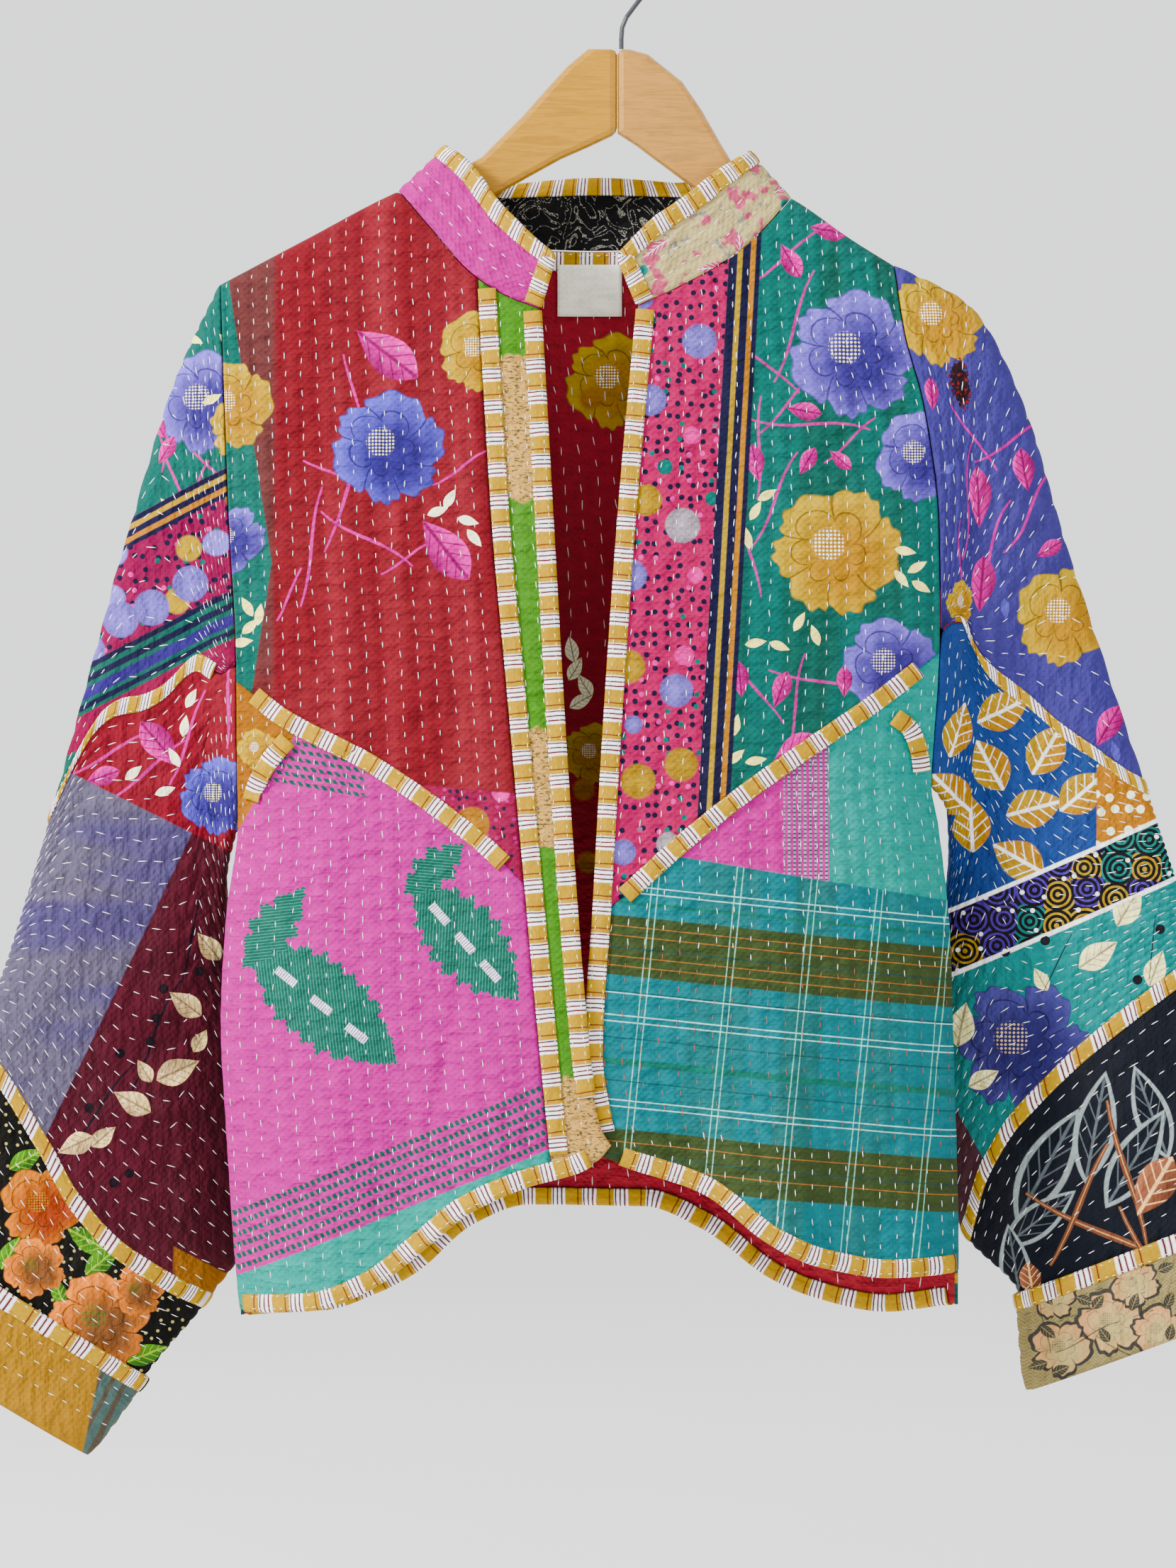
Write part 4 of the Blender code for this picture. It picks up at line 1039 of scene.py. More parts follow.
class PrintedCloth:
    # a printed cotton: its draw functions add motifs to self.colour, at places of the plan
    def __init__(self, name, ground, across=False, fading=0.2, relief=1.1, planned=True):
        self.material, self.desk, self.shader = freshMaterial(name)
        self.place = self.desk.outputs(self.desk.add("ShaderNodeUVMap", uv_map="cloth"))["UV"]
        self.x, self.z = self.desk.parts(self.place)
        self.colour, self.unit = srgb(ground), planUnit if planned else 1.0
        self.across, self.fading, self.relief, self.planned = across, fading, relief, planned

    def at(self, x, y):
        x, z = plan(x, y) if self.planned else (x, y)
        return x * mm, z * mm

    def lay(self, mask, colour, strength=1.0, limit=None):
        if limit is not None:
            mask = mask * limit
        if strength < 1:
            mask = mask * strength
        self.colour = self.desk.paint(self.colour, mask, srgb(colour) if isinstance(colour, str) else colour)

    def blended(self, mask, first, second):
        return self.desk.paint(srgb(first), mask, srgb(second))

    def flowers(self, rows, limit=None):
        # rows: x, y, size in plan units, tone, turn, petals, notch
        for x, y, size, tone, turn, petals, notch in rows:
            deep, light, line, heart = bloom[tone]
            made = self.desk.use(
                flowerGroup, Place=self.place, Centre=self.at(x, y), Size=size * self.unit * mm, Turn=turn,
                Petals=float(petals), Notch=notch,
            )
            self.lay(made["Petal"], self.blended(made["Shade"], deep, light), limit=limit)
            self.lay(made["Line"], line, 0.75, limit)
            self.lay(made["Heart"], heart, limit=limit)

    def leaf(self, x, y, length, width, turn, colour, vein=None, fat=0.3, tip=None, limit=None):
        # length and width are in millimetres
        made = self.desk.use(
            leafGroup, Place=self.place, Centre=self.at(x, y), Length=length * mm, Width=width * mm,
            Way=wayOf(turn), Fat=fat,
        )
        self.lay(made["Blade"], self.blended(made["Shade"], colour, tip) if tip else colour, limit=limit)
        if vein:
            self.lay(made["Vein"] * made["Blade"], vein, 0.8, limit)

    def leaves(self, rows, colour, vein=None, broad=0.55, fat=0.3, tip=None, limit=None):
        # rows: x, y, turn, size in plan units
        for x, y, turn, size in rows:
            length = size * planUnit
            self.leaf(x, y, length, length * broad, turn, colour, vein, fat, tip, limit)

    def sprigs(self, rows, colour, vein=None, size=(13, 5.5), fat=0.3, tip=None, limit=None):
        # rows: x, y, turn
        for x, y, turn in rows:
            self.leaf(x, y, *size, turn, colour, vein, fat, tip, limit)

    def buds(self, rows, limit=None):
        # rows: x, y, size in plan units, turn
        for x, y, size, turn in rows:
            self.leaves(((x, y, turn, size),), "73004A", "5C0038", 0.5, -0.35, "D80097", limit)

    def stems(self, rows, colour, width, bend=4, wave=60, limit=None):
        # rows: x, y, length, turn and for some the stem's own bend and wave
        for x, y, length, turn, *sway in rows:
            ownBend, ownWave = sway or (bend, wave)
            made = self.desk.use(
                stemGroup, Place=self.place, Centre=self.at(x, y), Length=length * mm, Way=wayOf(turn),
                Bend=ownBend * mm, Wave=float(ownWave), Width=width * mm,
            )
            self.lay(made["Stem"], colour, limit=limit)

    def strewn(self, pitch, length, width, share, colour, vein=None):
        made = self.desk.use(
            scatterGroup, Place=self.place, Scale=1000 / pitch, Length=length * mm, Width=width * mm,
            Share=share,
        )
        self.lay(made["Blade"], colour)
        if vein:
            self.lay(made["Vein"] * made["Blade"], vein, 0.8)

    def spots(self, pitch, size, colour, share=1.0, scatter=0.7, limit=None, second=None):
        made = self.desk.use(
            spotsGroup, Place=self.place, Scale=1000 / pitch, Size=size, Share=share, Scatter=scatter,
        )
        if second:
            colour = self.blended(self.desk.edge(made["Chance"], 0.5, 0.02), colour, second)
        self.lay(made["Spot"], colour, limit=limit)

    def balls(self, rows, colour, shadow, limit=None):
        # rows: x, y and size in plan units of each round ball of one colour
        near = 9.0
        for x, y, size in rows:
            far = self.desk.vector("DISTANCE", self.place, self.at(x, y))
            near = self.desk.maths("MINIMUM", near, far * (1000 / (size * planUnit)))
        inside = self.desk.clip((0.5 - near) * 22.0)
        speck = self.desk.noise(self.place, 900.0, 1.0)
        lit = self.desk.clip(self.desk.scaled(speck, 0.8, 0.55) - near)
        self.lay(inside, self.blended(lit, shadow, colour), limit=limit)

    def slope(self, turn):
        # a coordinate in metres that grows in the direction turn, in degrees
        return self.desk.vector("DOT_PRODUCT", self.place, wayOf(turn))

    def stripes(self, value, rows, start=0.0):
        # rows: from, to in millimetres after start, colour
        for low, high, colour in rows:
            self.lay(self.desk.band(value, (start + low) * mm, (start + high) * mm), colour)

    def side(self, x1, y1, x2, y2):
        # 1 on the left of the line from the first place to the second
        (x1, z1), (x2, z2) = self.at(x1, y1), self.at(x2, y2)
        length = math.hypot(x2 - x1, z2 - z1)
        nx, nz = (z1 - z2) / length, (x2 - x1) / length
        far = self.desk.vector("DOT_PRODUCT", self.place, (nx, nz))
        return self.desk.edge(far, nx * x1 + nz * z1, 0.0008)

    def rightOf(self, x, soft=softEdge):
        return self.desk.edge(self.x, planX(x), soft)

    def leftOf(self, x, soft=softEdge):
        return self.desk.under(self.x, planX(x), soft)

    def above(self, y, soft=softEdge):
        return self.desk.edge(self.z, planZ(y), soft)

    def finish(self, slotName, roughness=cotton["roughness"]):
        made = self.desk.use(
            weaveGroup, Colour=self.colour, Place=self.place, Threads=cotton["threads"],
            Fading=self.fading, RowsAcross=1.0 if self.across else 0.0,
        )
        bump = self.desk.add("ShaderNodeBump")
        bump.inputs["Strength"].default_value = self.relief
        bump.inputs["Distance"].default_value = cotton["bump"]
        self.desk.feed(bump.inputs["Height"], made["Height"])
        self.desk.fill(self.shader, Normal=self.desk.outputs(bump)["Normal"], Base_Color=made["Colour"])
        self.shader.inputs["Roughness"].default_value = roughness
        self.shader.inputs["Sheen Weight"].default_value = cotton["sheen"]
        self.shader.inputs["Sheen Roughness"].default_value = cotton["sheenRoughness"]
        self.shader.inputs["Specular IOR Level"].default_value = cotton["specular"]
        cloths[slotName] = self.material


# the printed cottons, panel by panel

def dottedBorder(cloth, limit):
    # the ground of the magenta borders
    cloth.spots(6.6, 0.26, "100E28", share=0.8, scatter=0.55, limit=limit)
    cloth.spots(8.7, 0.2, "01534C", share=0.5, limit=limit, second="C8007F")


def printRed():
    cloth = PrintedCloth("red flowered cotton", "620C17", fading=0.12)
    desk = cloth.desk
    wide = desk.noise(desk.drawnOut(cloth.place, 1.0, 0.05), 26.0, 1.0)
    cloth.lay(desk.edge(wide, 0.53, 0.08), "761924", 0.75)  # sun-faded bands down the cloth
    dotted = (1.0 - cloth.side(530, 1000, 640, 1010)) * cloth.rightOf(520, 0.02)
    cloth.lay(dotted, "760035", 0.85)
    cloth.spots(5.2, 0.24, "11152D", share=0.75, limit=dotted, second="950061")
    cloth.balls(((604, 1050, 46),), "976300", "6B3511", dotted)
    cloth.balls(((640, 1010, 24),), "D7008F", "921461", dotted)
    # stems first, then what grows on them
    cloth.stems((
        (445, 630, 75, 62, 5, 40), (440, 610, 50, 150, 4, 60), (470, 690, 62, -40, 5, 60),
        (400, 700, 70, 70, 6, 45), (590, 600, 40, 20, 4, 90), (452, 500, 42, 95, 4, 60),
        (520, 715, 34, 20, 4, 80), (372, 760, 34, 55, 3, 80),
    ), "AD0077", 1.7)
    cloth.flowers(((497, 575, 72, "blue", 0.3, 6, 0.2),))
    cloth.buds(((495, 456, 100, -38), (570, 705, 96, -52)))
    cloth.sprigs(((560, 656, 20), (598, 668, -15), (606, 690, -50), (575, 640, 60)), "F6F6C9")
    cloth.flowers(((612, 452, 52, "yellow", 1.0, 5, 0.16),))
    # a strip of teal cloth along the armhole, faded brown above it
    cloth.lay(cloth.leftOf(352, 0.004) * cloth.above(880, 0.03), "482725", 0.8)
    teal = desk.under(cloth.x + abs(cloth.z - planZ(720)) * 0.16, planX(350), 0.0008)
    cloth.lay(teal, "094D44")
    cloth.flowers(((296, 520, 56, "yellow", 0.5, 5, 0.2),))
    cloth.flowers(((296, 690, 46, "violet", 0.9, 5, 0.3),), teal)
    cloth.sprigs(((322, 800, 40), (334, 785, 80), (312, 820, 10), (318, 775, 120)), "F4E07D", limit=teal)
    cloth.finish("front_left_upper")


def steppedLeaf(cloth, x, y, length, width, turn, bars):
    # a woven leaf in steps, with a sawn edge and silver bars
    desk = cloth.desk
    lx, ly = desk.turned(desk.vector("SUBTRACT", cloth.place, cloth.at(x, y)), wayOf(turn))
    along, across = desk.maths("SNAP", lx, 2.6 * mm), desk.maths("SNAP", ly, 2.2 * mm)
    share = along / (length * mm / 2)
    belly = desk.clip(1.0 - share * share)
    saw = desk.maths("PINGPONG", along, 5.2 * mm)
    wide = belly * desk.scaled(saw, 0.9, width * mm * 0.42)
    mask = desk.maths("LESS_THAN", abs(across), wide)
    fine = desk.maths("SINE", (lx + ly) * 2520.0)
    cloth.lay(mask, cloth.blended(desk.edge(fine, 0.55, 0.5), "0E473A", "1F6B5D"))
    for bar in bars:
        box = desk.band(lx, (bar - 7) * mm, (bar + 7) * mm) * desk.band(ly, -2.4 * mm, 2.4 * mm)
        glint = desk.edge(desk.maths("SINE", lx * 4200.0), 0.2, 0.8)
        cloth.lay(box, cloth.blended(glint, "837695", "F6F6F6"))


def woundRows(cloth, value, first, gap, count, limit=None):
    # rows of dark embroidered dashes along a stripe coordinate
    desk = cloth.desk
    start, end = (first - gap / 2) * mm, (first + gap * (count - 1) + gap / 2) * mm
    phase = desk.maths("PINGPONG", value - start, gap * mm / 2)
    row = desk.edge(phase, gap * mm * 0.24, 0.0005)
    dash = desk.edge(desk.maths("SINE", cloth.x * 1500.0 + cloth.z * 900.0), -0.45, 0.4)
    cloth.lay(row * dash * desk.band(value, start, end), cloth.blended(dash, "836F8C", "0F4339"), limit=limit)


def printPink():
    cloth = PrintedCloth("pink woven cotton", "9D0074", fading=0.08)
    steppedLeaf(cloth, 410, 1275, 112, 52, -38, (-24, 2, 28))
    steppedLeaf(cloth, 352, 1185, 58, 24, 52, ())
    steppedLeaf(cloth, 592, 1195, 92, 44, -48, (-20, 2, 24))
    steppedLeaf(cloth, 555, 1110, 44, 20, 40, ())
    hemTurn, topTurn = 90 + math.degrees(math.atan2(165, 390)), 80
    low, lowAt = cloth.slope(hemTurn), slopeAt(hemTurn, 300, 1625)
    woundRows(cloth, low, lowAt + 4, 6.0, 6)
    high, highAt = cloth.slope(topTurn), slopeAt(topTurn, 380, 985)
    woundRows(cloth, high, highAt - 6, 4.6, 6, cloth.leftOf(470, 0.004))
    cloth.lay(cloth.desk.under(low, lowAt * mm), "007C71")
    # under the arm the sleeve's cloth shows beyond the tape
    arm = 1.0 - cloth.side(378, 940, 310, 1050)
    cloth.lay(arm, "844D00")
    cloth.flowers(((330, 955, 26, "yellow", 0.2, 5, 0.2),), arm)
    cloth.finish("front_left_lower")


def printPlacket():
    cloth = PrintedCloth("green speckled cotton", "356C0E", fading=0.22)
    desk = cloth.desk
    z = cloth.z + (desk.noise(cloth.place, 60.0, 2.0) - 0.5) * 0.022
    first, second, third = (
        desk.band(z, planZ(low), planZ(high), 0.0016) for low, high in ((640, 460), (1085, 935), (1475, 1372))
    )
    patches = desk.either(desk.either(first, second), third)
    cloth.lay(patches, "B1853F")
    grain = desk.noise(desk.drawnOut(cloth.place, 1.0, 2.2), 330.0, 2.0, 0.7)
    cloth.lay(desk.edge(grain, 0.56, 0.05), "233522", 0.85, patches)
    cloth.lay(desk.edge(grain, 0.66, 0.05), "1A3F1B", 0.7, 1.0 - patches)
    cloth.finish("placket")


def printTeal():
    cloth = PrintedCloth("teal flowered cotton", "07463C", fading=0.1)
    desk = cloth.desk
    shade = desk.noise(desk.drawnOut(cloth.place, 1.0, 0.1), 30.0, 1.0)
    cloth.lay(desk.edge(shade, 0.5, 0.1), "015852", 0.6)
    cloth.stems((
        (1010, 420, 70, 62, 5, 50), (975, 470, 50, 130), (1000, 330, 60, 30), (1030, 545, 70, -12, 5, 60),
        (965, 575, 60, 80), (985, 640, 60, 55, 5, 60), (950, 700, 60, 95, 5, 50), (1010, 900, 60, 70, 5, 60),
        (1080, 565, 40, 30, 4, 80), (1000, 520, 46, 40, 3, 80), (960, 880, 50, 120), (1040, 870, 60, -20),
    ), "A7007A", 1.5)
    cloth.flowers((
        (1085, 455, 82, "violet", 0.3, 6, 0.22), (1168, 585, 58, "violet", 1.2, 5, 0.22),
        (1063, 705, 82, "yellow", 0.6, 6, 0.18), (1130, 850, 62, "violet", 0.1, 5, 0.22),
        (1210, 410, 50, "yellow", 0.1, 5, 0.2),
    ))
    cloth.buds((
        (1055, 296, 50, -10), (1006, 336, 50, -60), (1022, 528, 46, -10), (960, 594, 48, 100),
        (1026, 592, 40, 60), (1068, 590, 36, -40), (940, 868, 46, 95), (992, 880, 48, 70),
        (1010, 955, 66, 30), (1195, 505, 40, 80), (1072, 870, 40, 90),
    ))
    cloth.sprigs((
        (960, 655, 60), (975, 635, 30), (950, 690, 100), (960, 822, 10), (990, 826, -20), (1015, 795, 60),
        (1035, 812, 110), (1150, 705, -10), (1165, 725, 30), (1145, 740, -50), (935, 965, 40), (960, 970, 10),
        (935, 925, 80), (1170, 750, -30),
    ), "F0E078", size=(13, 5.2))
    # magenta border with balls, then the stripes between it and the teal
    borderTurn = -math.degrees(math.atan2(38, 650))
    across, borderAt = cloth.slope(borderTurn), slopeAt(borderTurn, 925, 380)
    border = desk.under(across, borderAt * mm)
    cloth.lay(border, "920044")
    dottedBorder(cloth, border)
    for colour, shadow, rows in (
        ("6B5BB4", "35295F", (
            (890, 440, 46), (828, 515, 42), (803, 737, 42), (860, 882, 44), (818, 385, 30), (806, 925, 24),
            (793, 1085, 34))),
        ("977700", "683B0D", ((822, 642, 42), (800, 852, 44), (866, 975, 44), (812, 996, 46))),
        ("A0929A", "443C51", ((868, 674, 46), (850, 1075, 32))),
        ("D90089", "840549", ((884, 737, 22), (870, 838, 26), (786, 690, 26), (880, 560, 24))),
        ("005C55", "0A3D36", ((846, 600, 20), (905, 640, 18))),
    ):
        cloth.balls(rows, colour, shadow, border)
    cloth.stripes(across, (
        (0, 5, "0F0E2B"), (5, 8, "977705"), (8, 12.5, "0F0E2B"), (12.5, 15.5, "975F00"),
        (15.5, 18.2, "0F0E2B"),
    ), borderAt)
    cloth.finish("front_right_upper")


def printPlaid():
    cloth = PrintedCloth("turquoise checked cotton", "005D64", fading=0.12)
    desk = cloth.desk
    downTurn = 84  # the checks run down a little to the right
    tilt, acrossWay = cloth.slope(downTurn), cloth.slope(downTurn - 90)

    def lines(value, middles, half, colour, strength):
        for middle in middles:
            band = desk.band(value, (middle - half) * mm, (middle + half) * mm, 0.0004)
            cloth.lay(band, colour, strength)

    def downAt(*rows):
        return [slopeAt(downTurn, 800, y) for y in rows]

    for low, high, strength in ((890, 965, 0.3), (1010, 1060, 0.42), (1120, 1160, 0.28)):
        band = desk.band(acrossWay, planX(low) + 0.058, planX(high) + 0.058, 0.002)
        cloth.lay(band, "204A3C", strength)
    for low, high, colour in (
        (1240, 1165, "2C3A1B"), (1500, 1432, "2C3A1B"), (1352, 1344, "0B5548"), (1150, 1146, "0B5548"),
    ):
        cloth.stripes(tilt, ((*downAt(low, high), colour),))
    lines(tilt, downAt(1127, 1135, 1290, 1298, 1396, 1404, 1262), 0.3, "BBF6F2", 0.6)
    uprights = (800, 808, 905, 913, 1000, 1008, 1085, 1093, 1178, 1186)
    shortened = math.cos(math.radians(90 - downTurn))
    lines(acrossWay, [plan(x, 0)[0] * shortened + 71.0 for x in uprights], 0.28, "94F6D7", 0.5)
    lines(tilt, downAt(1205, 1260, 1318, 1372, 1465), 0.4, "123638", 0.7)
    lines(tilt, downAt(1178, 1190, 1216, 1228, 1448, 1478), 0.25, "B5651E", 0.55)
    # plain turquoise and pink pieces above
    above = cloth.side(790, 1078, 1220, 1150)
    cloth.lay(above, "007C73")
    pink = above * cloth.leftOf(1052)
    cloth.lay(pink, "A40277")
    fine = desk.maths("PINGPONG", cloth.x, 1.55 * mm)
    dash = desk.edge(desk.maths("SINE", cloth.z * 2600.0), -0.2, 0.5)
    bars = pink * cloth.rightOf(995)
    cloth.lay(bars * desk.edge(fine, 0.85 * mm, 0.0004), cloth.blended(dash, "144C40", "A184AD"))
    cloth.finish("front_right_lower")


def printCapLeft():
    cloth = PrintedCloth("teal flowered sleeve cotton", "094A42", across=True, fading=0.12)
    rows = ((225, 610, 60, 100), (250, 640, 50, 60), (215, 560, 40, 70), (262, 590, 46, 120))
    cloth.stems(rows, "A7007A", 1.5, wave=70)
    cloth.flowers(((262, 515, 66, "violet", 0.3, 6, 0.22), (318, 548, 48, "yellow", 0.8, 5, 0.2)))
    cloth.buds(((215, 575, 40, 60), (268, 640, 40, 100), (230, 640, 36, 30), (205, 545, 36, 120)))
    cloth.strewn(34, 12, 5, 0.4, "F0E078")
    # bands across the sleeve: navy and yellow, then dotted magenta, then teal, navy and violet
    bandTurn = -90 + 27
    down, start, end = cloth.slope(bandTurn), slopeAt(bandTurn, 180, 655), slopeAt(bandTurn, 125, 845)
    lower = cloth.desk.edge(down, start * mm)
    cloth.lay(lower, "6C0035")
    dottedBorder(cloth, lower)
    cloth.spots(30.0, 0.27, "6B5BB4", share=0.55, limit=lower, second="977700")
    for x, y in ((245, 745), (155, 790), (195, 775), (112, 830), (270, 815)):
        cloth.balls(((x, y, 48),), "6D5BBD", "35295F")
    cloth.stripes(down, (
        (0, 3, "0F0E2B"), (3, 6, "977705"), (6, 9.5, "0F0E2B"), (9.5, 12.5, "975F00"), (12.5, 15, "0F0E2B"),
    ), start)
    cloth.lay(cloth.desk.edge(down, (end - 2) * mm), "08463C")
    cloth.stripes(down, (
        (-2, 1, "0F0E2B"), (4, 7.5, "0F0E2B"), (10, 16, "25165C"), (18, 21, "0F0E2B"), (23, 40, "6E0032"),
    ), end)
    cloth.finish("sleeve_left_upper")


def printMaroonSleeve():
    cloth = PrintedCloth("maroon sleeve cotton", "420D1B", across=True, fading=0.16)
    desk = cloth.desk
    # the plain lilac-grey piece beside it, shaded in broad bands
    edge = cloth.side(60, 1440, 232, 1085)
    bands = desk.noise(desk.drawnOut(cloth.place, 0.4, 1.6), 17.0, 1.0)
    cloth.lay(edge, cloth.blended(desk.edge(bands, 0.5, 0.12), "3F375D", "4D475B"))
    cloth.lay(desk.edge(bands, 0.53, 0.2), "380A17", 0.6, 1.0 - edge)
    # embroidered leaves in pairs along a dark stem
    rows = ((190, 1330, 80, 62), (120, 1420, 70, 48), (240, 1200, 60, 70))
    cloth.stems(rows, "100B16", 1.3, bend=3)
    cloth.leaves((
        (262, 1208, 128, 46), (232, 1282, 142, 52), (222, 1368, 24, 60), (164, 1408, 150, 54),
        (92, 1462, 205, 50), (128, 1452, 40, 40), (250, 1330, 60, 34), (180, 1368, 120, 34),
    ), "F6D48B", "6A533B", fat=0.5, tip="A2845C")
    cloth.balls([(x, y, 13) for x, y in (
        (205, 1262), (196, 1300), (150, 1345), (110, 1415), (140, 1512), (188, 1330), (250, 1240),
        (160, 1500),
    )], "1A0E17", "0A060B")
    # mustard piece where the two slanting seams meet
    cloth.lay(cloth.side(265, 1625, 205, 1590) * cloth.rightOf(215, 0.002), "824F00", 0.9)
    # red flowered piece above
    upper = 1.0 - cloth.side(290, 1085, 70, 975)
    cloth.lay(upper, "6B081B")
    rows = ((240, 940, 60, 60), (190, 980, 60, 30), (290, 900, 50, 80), (140, 960, 60, 20))
    cloth.stems(rows, "AD0077", 1.7, limit=upper)
    cloth.buds(((203, 948, 74, 130), (130, 990, 48, 20)), upper)
    cloth.flowers(((278, 1015, 50, "blue", 0.3, 6, 0.2),), upper)
    rows = ((236, 925, 80), (245, 890, 60), (170, 985, 40), (210, 1008, 20), (222, 965, 120))
    cloth.sprigs(rows, "F6F6C9", limit=upper)
    cloth.finish("sleeve_left_middle")


def printBlack():
    cloth = PrintedCloth("black flowered cotton", "0B0B08", across=True, fading=0.1)
    cloth.spots(6.2, 0.17, "A49159", share=0.85, scatter=0.6)
    cloth.leaves((
        (108, 1585, 150, 62), (125, 1612, 40, 56), (180, 1735, 20, 54), (30, 1480, 30, 50),
        (150, 1600, -20, 40), (10, 1600, 60, 50), (70, 1650, 110, 40),
    ), "204A17", "8CAF1B", broad=0.5, tip="407C09")
    cloth.strewn(52, 24, 12, 0.35, "204A17", "8CAF1B")
    cloth.flowers((
        (122, 1690, 64, "brown", 0.3, 5, 0.3), (52, 1540, 56, "orange", 0.9, 5, 0.34),
        (40, 1620, 40, "brown", 1.4, 5, 0.3), (170, 1652, 34, "brown", 0.4, 5, 0.3),
        (-70, 1560, 60, "brown", 0.1, 5, 0.3),
    ))
    cloth.finish("sleeve_left_forearm")


def printOchre():
    cloth = PrintedCloth("ochre cuff cotton", "8C6208", across=True, fading=0.12)
    desk = cloth.desk
    edge = cloth.side(98, 1850, 118, 1760)
    cloth.lay(1.0 - edge, "3B514D")
    fine = desk.maths("PINGPONG", cloth.slope(-28), 3.4 * mm)
    cloth.lay(desk.edge(fine, 2.2 * mm), "463423", 0.8, 1.0 - edge)
    topTurn = 62
    top = desk.edge(cloth.slope(topTurn), slopeAt(topTurn, 50, 1700) * mm, 0.0008)
    cloth.lay(edge * top, "5D5E56", 0.8)
    cloth.finish("cuff_left")


def printViolet():
    cloth = PrintedCloth("violet flowered cotton", "312A6C", across=True, fading=0.16)
    desk = cloth.desk
    cloth.stems((
        (1215, 640, 70, 75), (1290, 560, 60, 20), (1260, 700, 60, 60), (1230, 560, 50, 120),
        (1310, 650, 60, 50), (1200, 730, 60, 85), (1350, 640, 50, 100),
    ), "A7007A", 1.6, bend=5, wave=70)
    cloth.flowers((
        (1190, 408, 62, "yellow", 0.3, 6, 0.2), (1355, 785, 64, "yellow", 1.2, 6, 0.2),
        (1205, 770, 30, "yellow", 0.2, 5, 0.3), (1560, 640, 70, "yellow", 0.8, 6, 0.2),
    ))
    cloth.buds((
        (1240, 635, 80, 95), (1248, 745, 72, 85), (1302, 600, 56, 100), (1412, 925, 60, 60),
        (1335, 700, 40, 30), (1165, 505, 44, 80), (1450, 760, 60, 120),
    ))
    cloth.strewn(40, 13, 5, 0.3, "443E97")
    # a small rip, darned in black and red
    worn = desk.noise(cloth.place, 380.0, 2.0)
    offset = desk.vector("SUBTRACT", cloth.place, cloth.at(1215, 492))
    far = desk.vector("LENGTH", desk.vector("MULTIPLY", offset, (1.9, 1.0, 1.0)))
    rip = desk.edge(desk.scaled(worn, 0.02, far * -1.0), -0.0035, 0.001)
    cloth.lay(rip, cloth.blended(desk.edge(worn, 0.58, 0.05), "190D12", "6B0A1B"))
    cloth.finish("sleeve_right_upper")


def printBlueSleeve():
    cloth = PrintedCloth("blue leaf cotton", "14316A", across=True, fading=0.14)
    desk = cloth.desk
    cloth.sprigs((
        (1215, 930, 70), (1278, 905, 25), (1262, 975, 120), (1335, 955, 60), (1320, 1030, 15),
        (1240, 1050, 95),
        (1385, 930, 110), (1380, 1010, 40), (1300, 1095, 150), (1210, 1010, 140), (1440, 960, 60),
        (1475, 1015, 120), (1505, 950, 30),
    ), "956000", "F6F6F6", (76 * planUnit, 50 * planUnit), fat=0.25, tip="977700")
    patch = cloth.rightOf(1398, 0.0008) * (1.0 - cloth.above(975, 0.0008))
    cloth.lay(patch, "975D00")
    cloth.spots(9.5, 0.28, "F6F6CD", share=0.8, limit=patch)
    # black band of nested arcs, then teal with embroidered leaves
    bandTurn = -90 + math.degrees(math.atan2(130, 290))
    down, start, end = cloth.slope(bandTurn), slopeAt(bandTurn, 1210, 1165), slopeAt(bandTurn, 1210, 1250)
    below = desk.edge(down, start * mm)
    cloth.lay(below, "0E0D12")
    inBand = below * desk.under(down, end * mm)
    arcs = desk.cells(cloth.place, 1000 / 17.0, 0.35)
    ring = desk.maths("SINE", arcs["Distance"] * 34.0)
    tone, other = desk.chances(arcs)
    bright = cloth.blended(desk.edge(tone, 0.5, 0.02), "977700", "00625B")
    bright = desk.paint(bright, desk.edge(other, 0.6, 0.02), srgb("3D2080"))
    cloth.lay(desk.edge(ring, 0.25, 0.3), bright, limit=inBand)
    cloth.spots(11.0, 0.14, "F6F6F6", share=0.6, limit=inBand)
    under = desk.edge(down, end * mm)
    cloth.lay(under, "026B69")
    cloth.stripes(down, [(start - 1.2, start + 1.2, "F6F6F6"), (end - 1.4, end + 1.2, "F6F6F6")])
    cloth.flowers(((1305, 1335, 86, "slate", 0.2, 7, 0.34), (1365, 1420, 40, "slate", 0.7, 6, 0.34)), under)
    cloth.leaves((
        (1440, 1155, 60, 60), (1402, 1218, 35, 60), (1232, 1310, 80, 60), (1475, 1235, 70, 50),
        (1260, 1380, 30, 44), (1330, 1250, 120, 34), (1520, 1200, 60, 54), (1560, 1290, 20, 54),
    ), "F6EBA0", "605B4B", fat=0.4, limit=under)
    rows = [(x, y, 13) for x, y in ((1335, 1200), (1480, 1185), (1452, 1250), (1285, 1215))]
    cloth.balls(rows, "19181E", "0C0B10", under)
    cloth.stems(((1350, 1230, 40, 60), (1470, 1210, 40, 80)), "19181E", 1.0, 2, 50, under)
    cloth.lay(1.0 - cloth.side(1215, 1400, 1300, 1560), "470A1C", 0.9)
    cloth.finish("sleeve_right_middle")


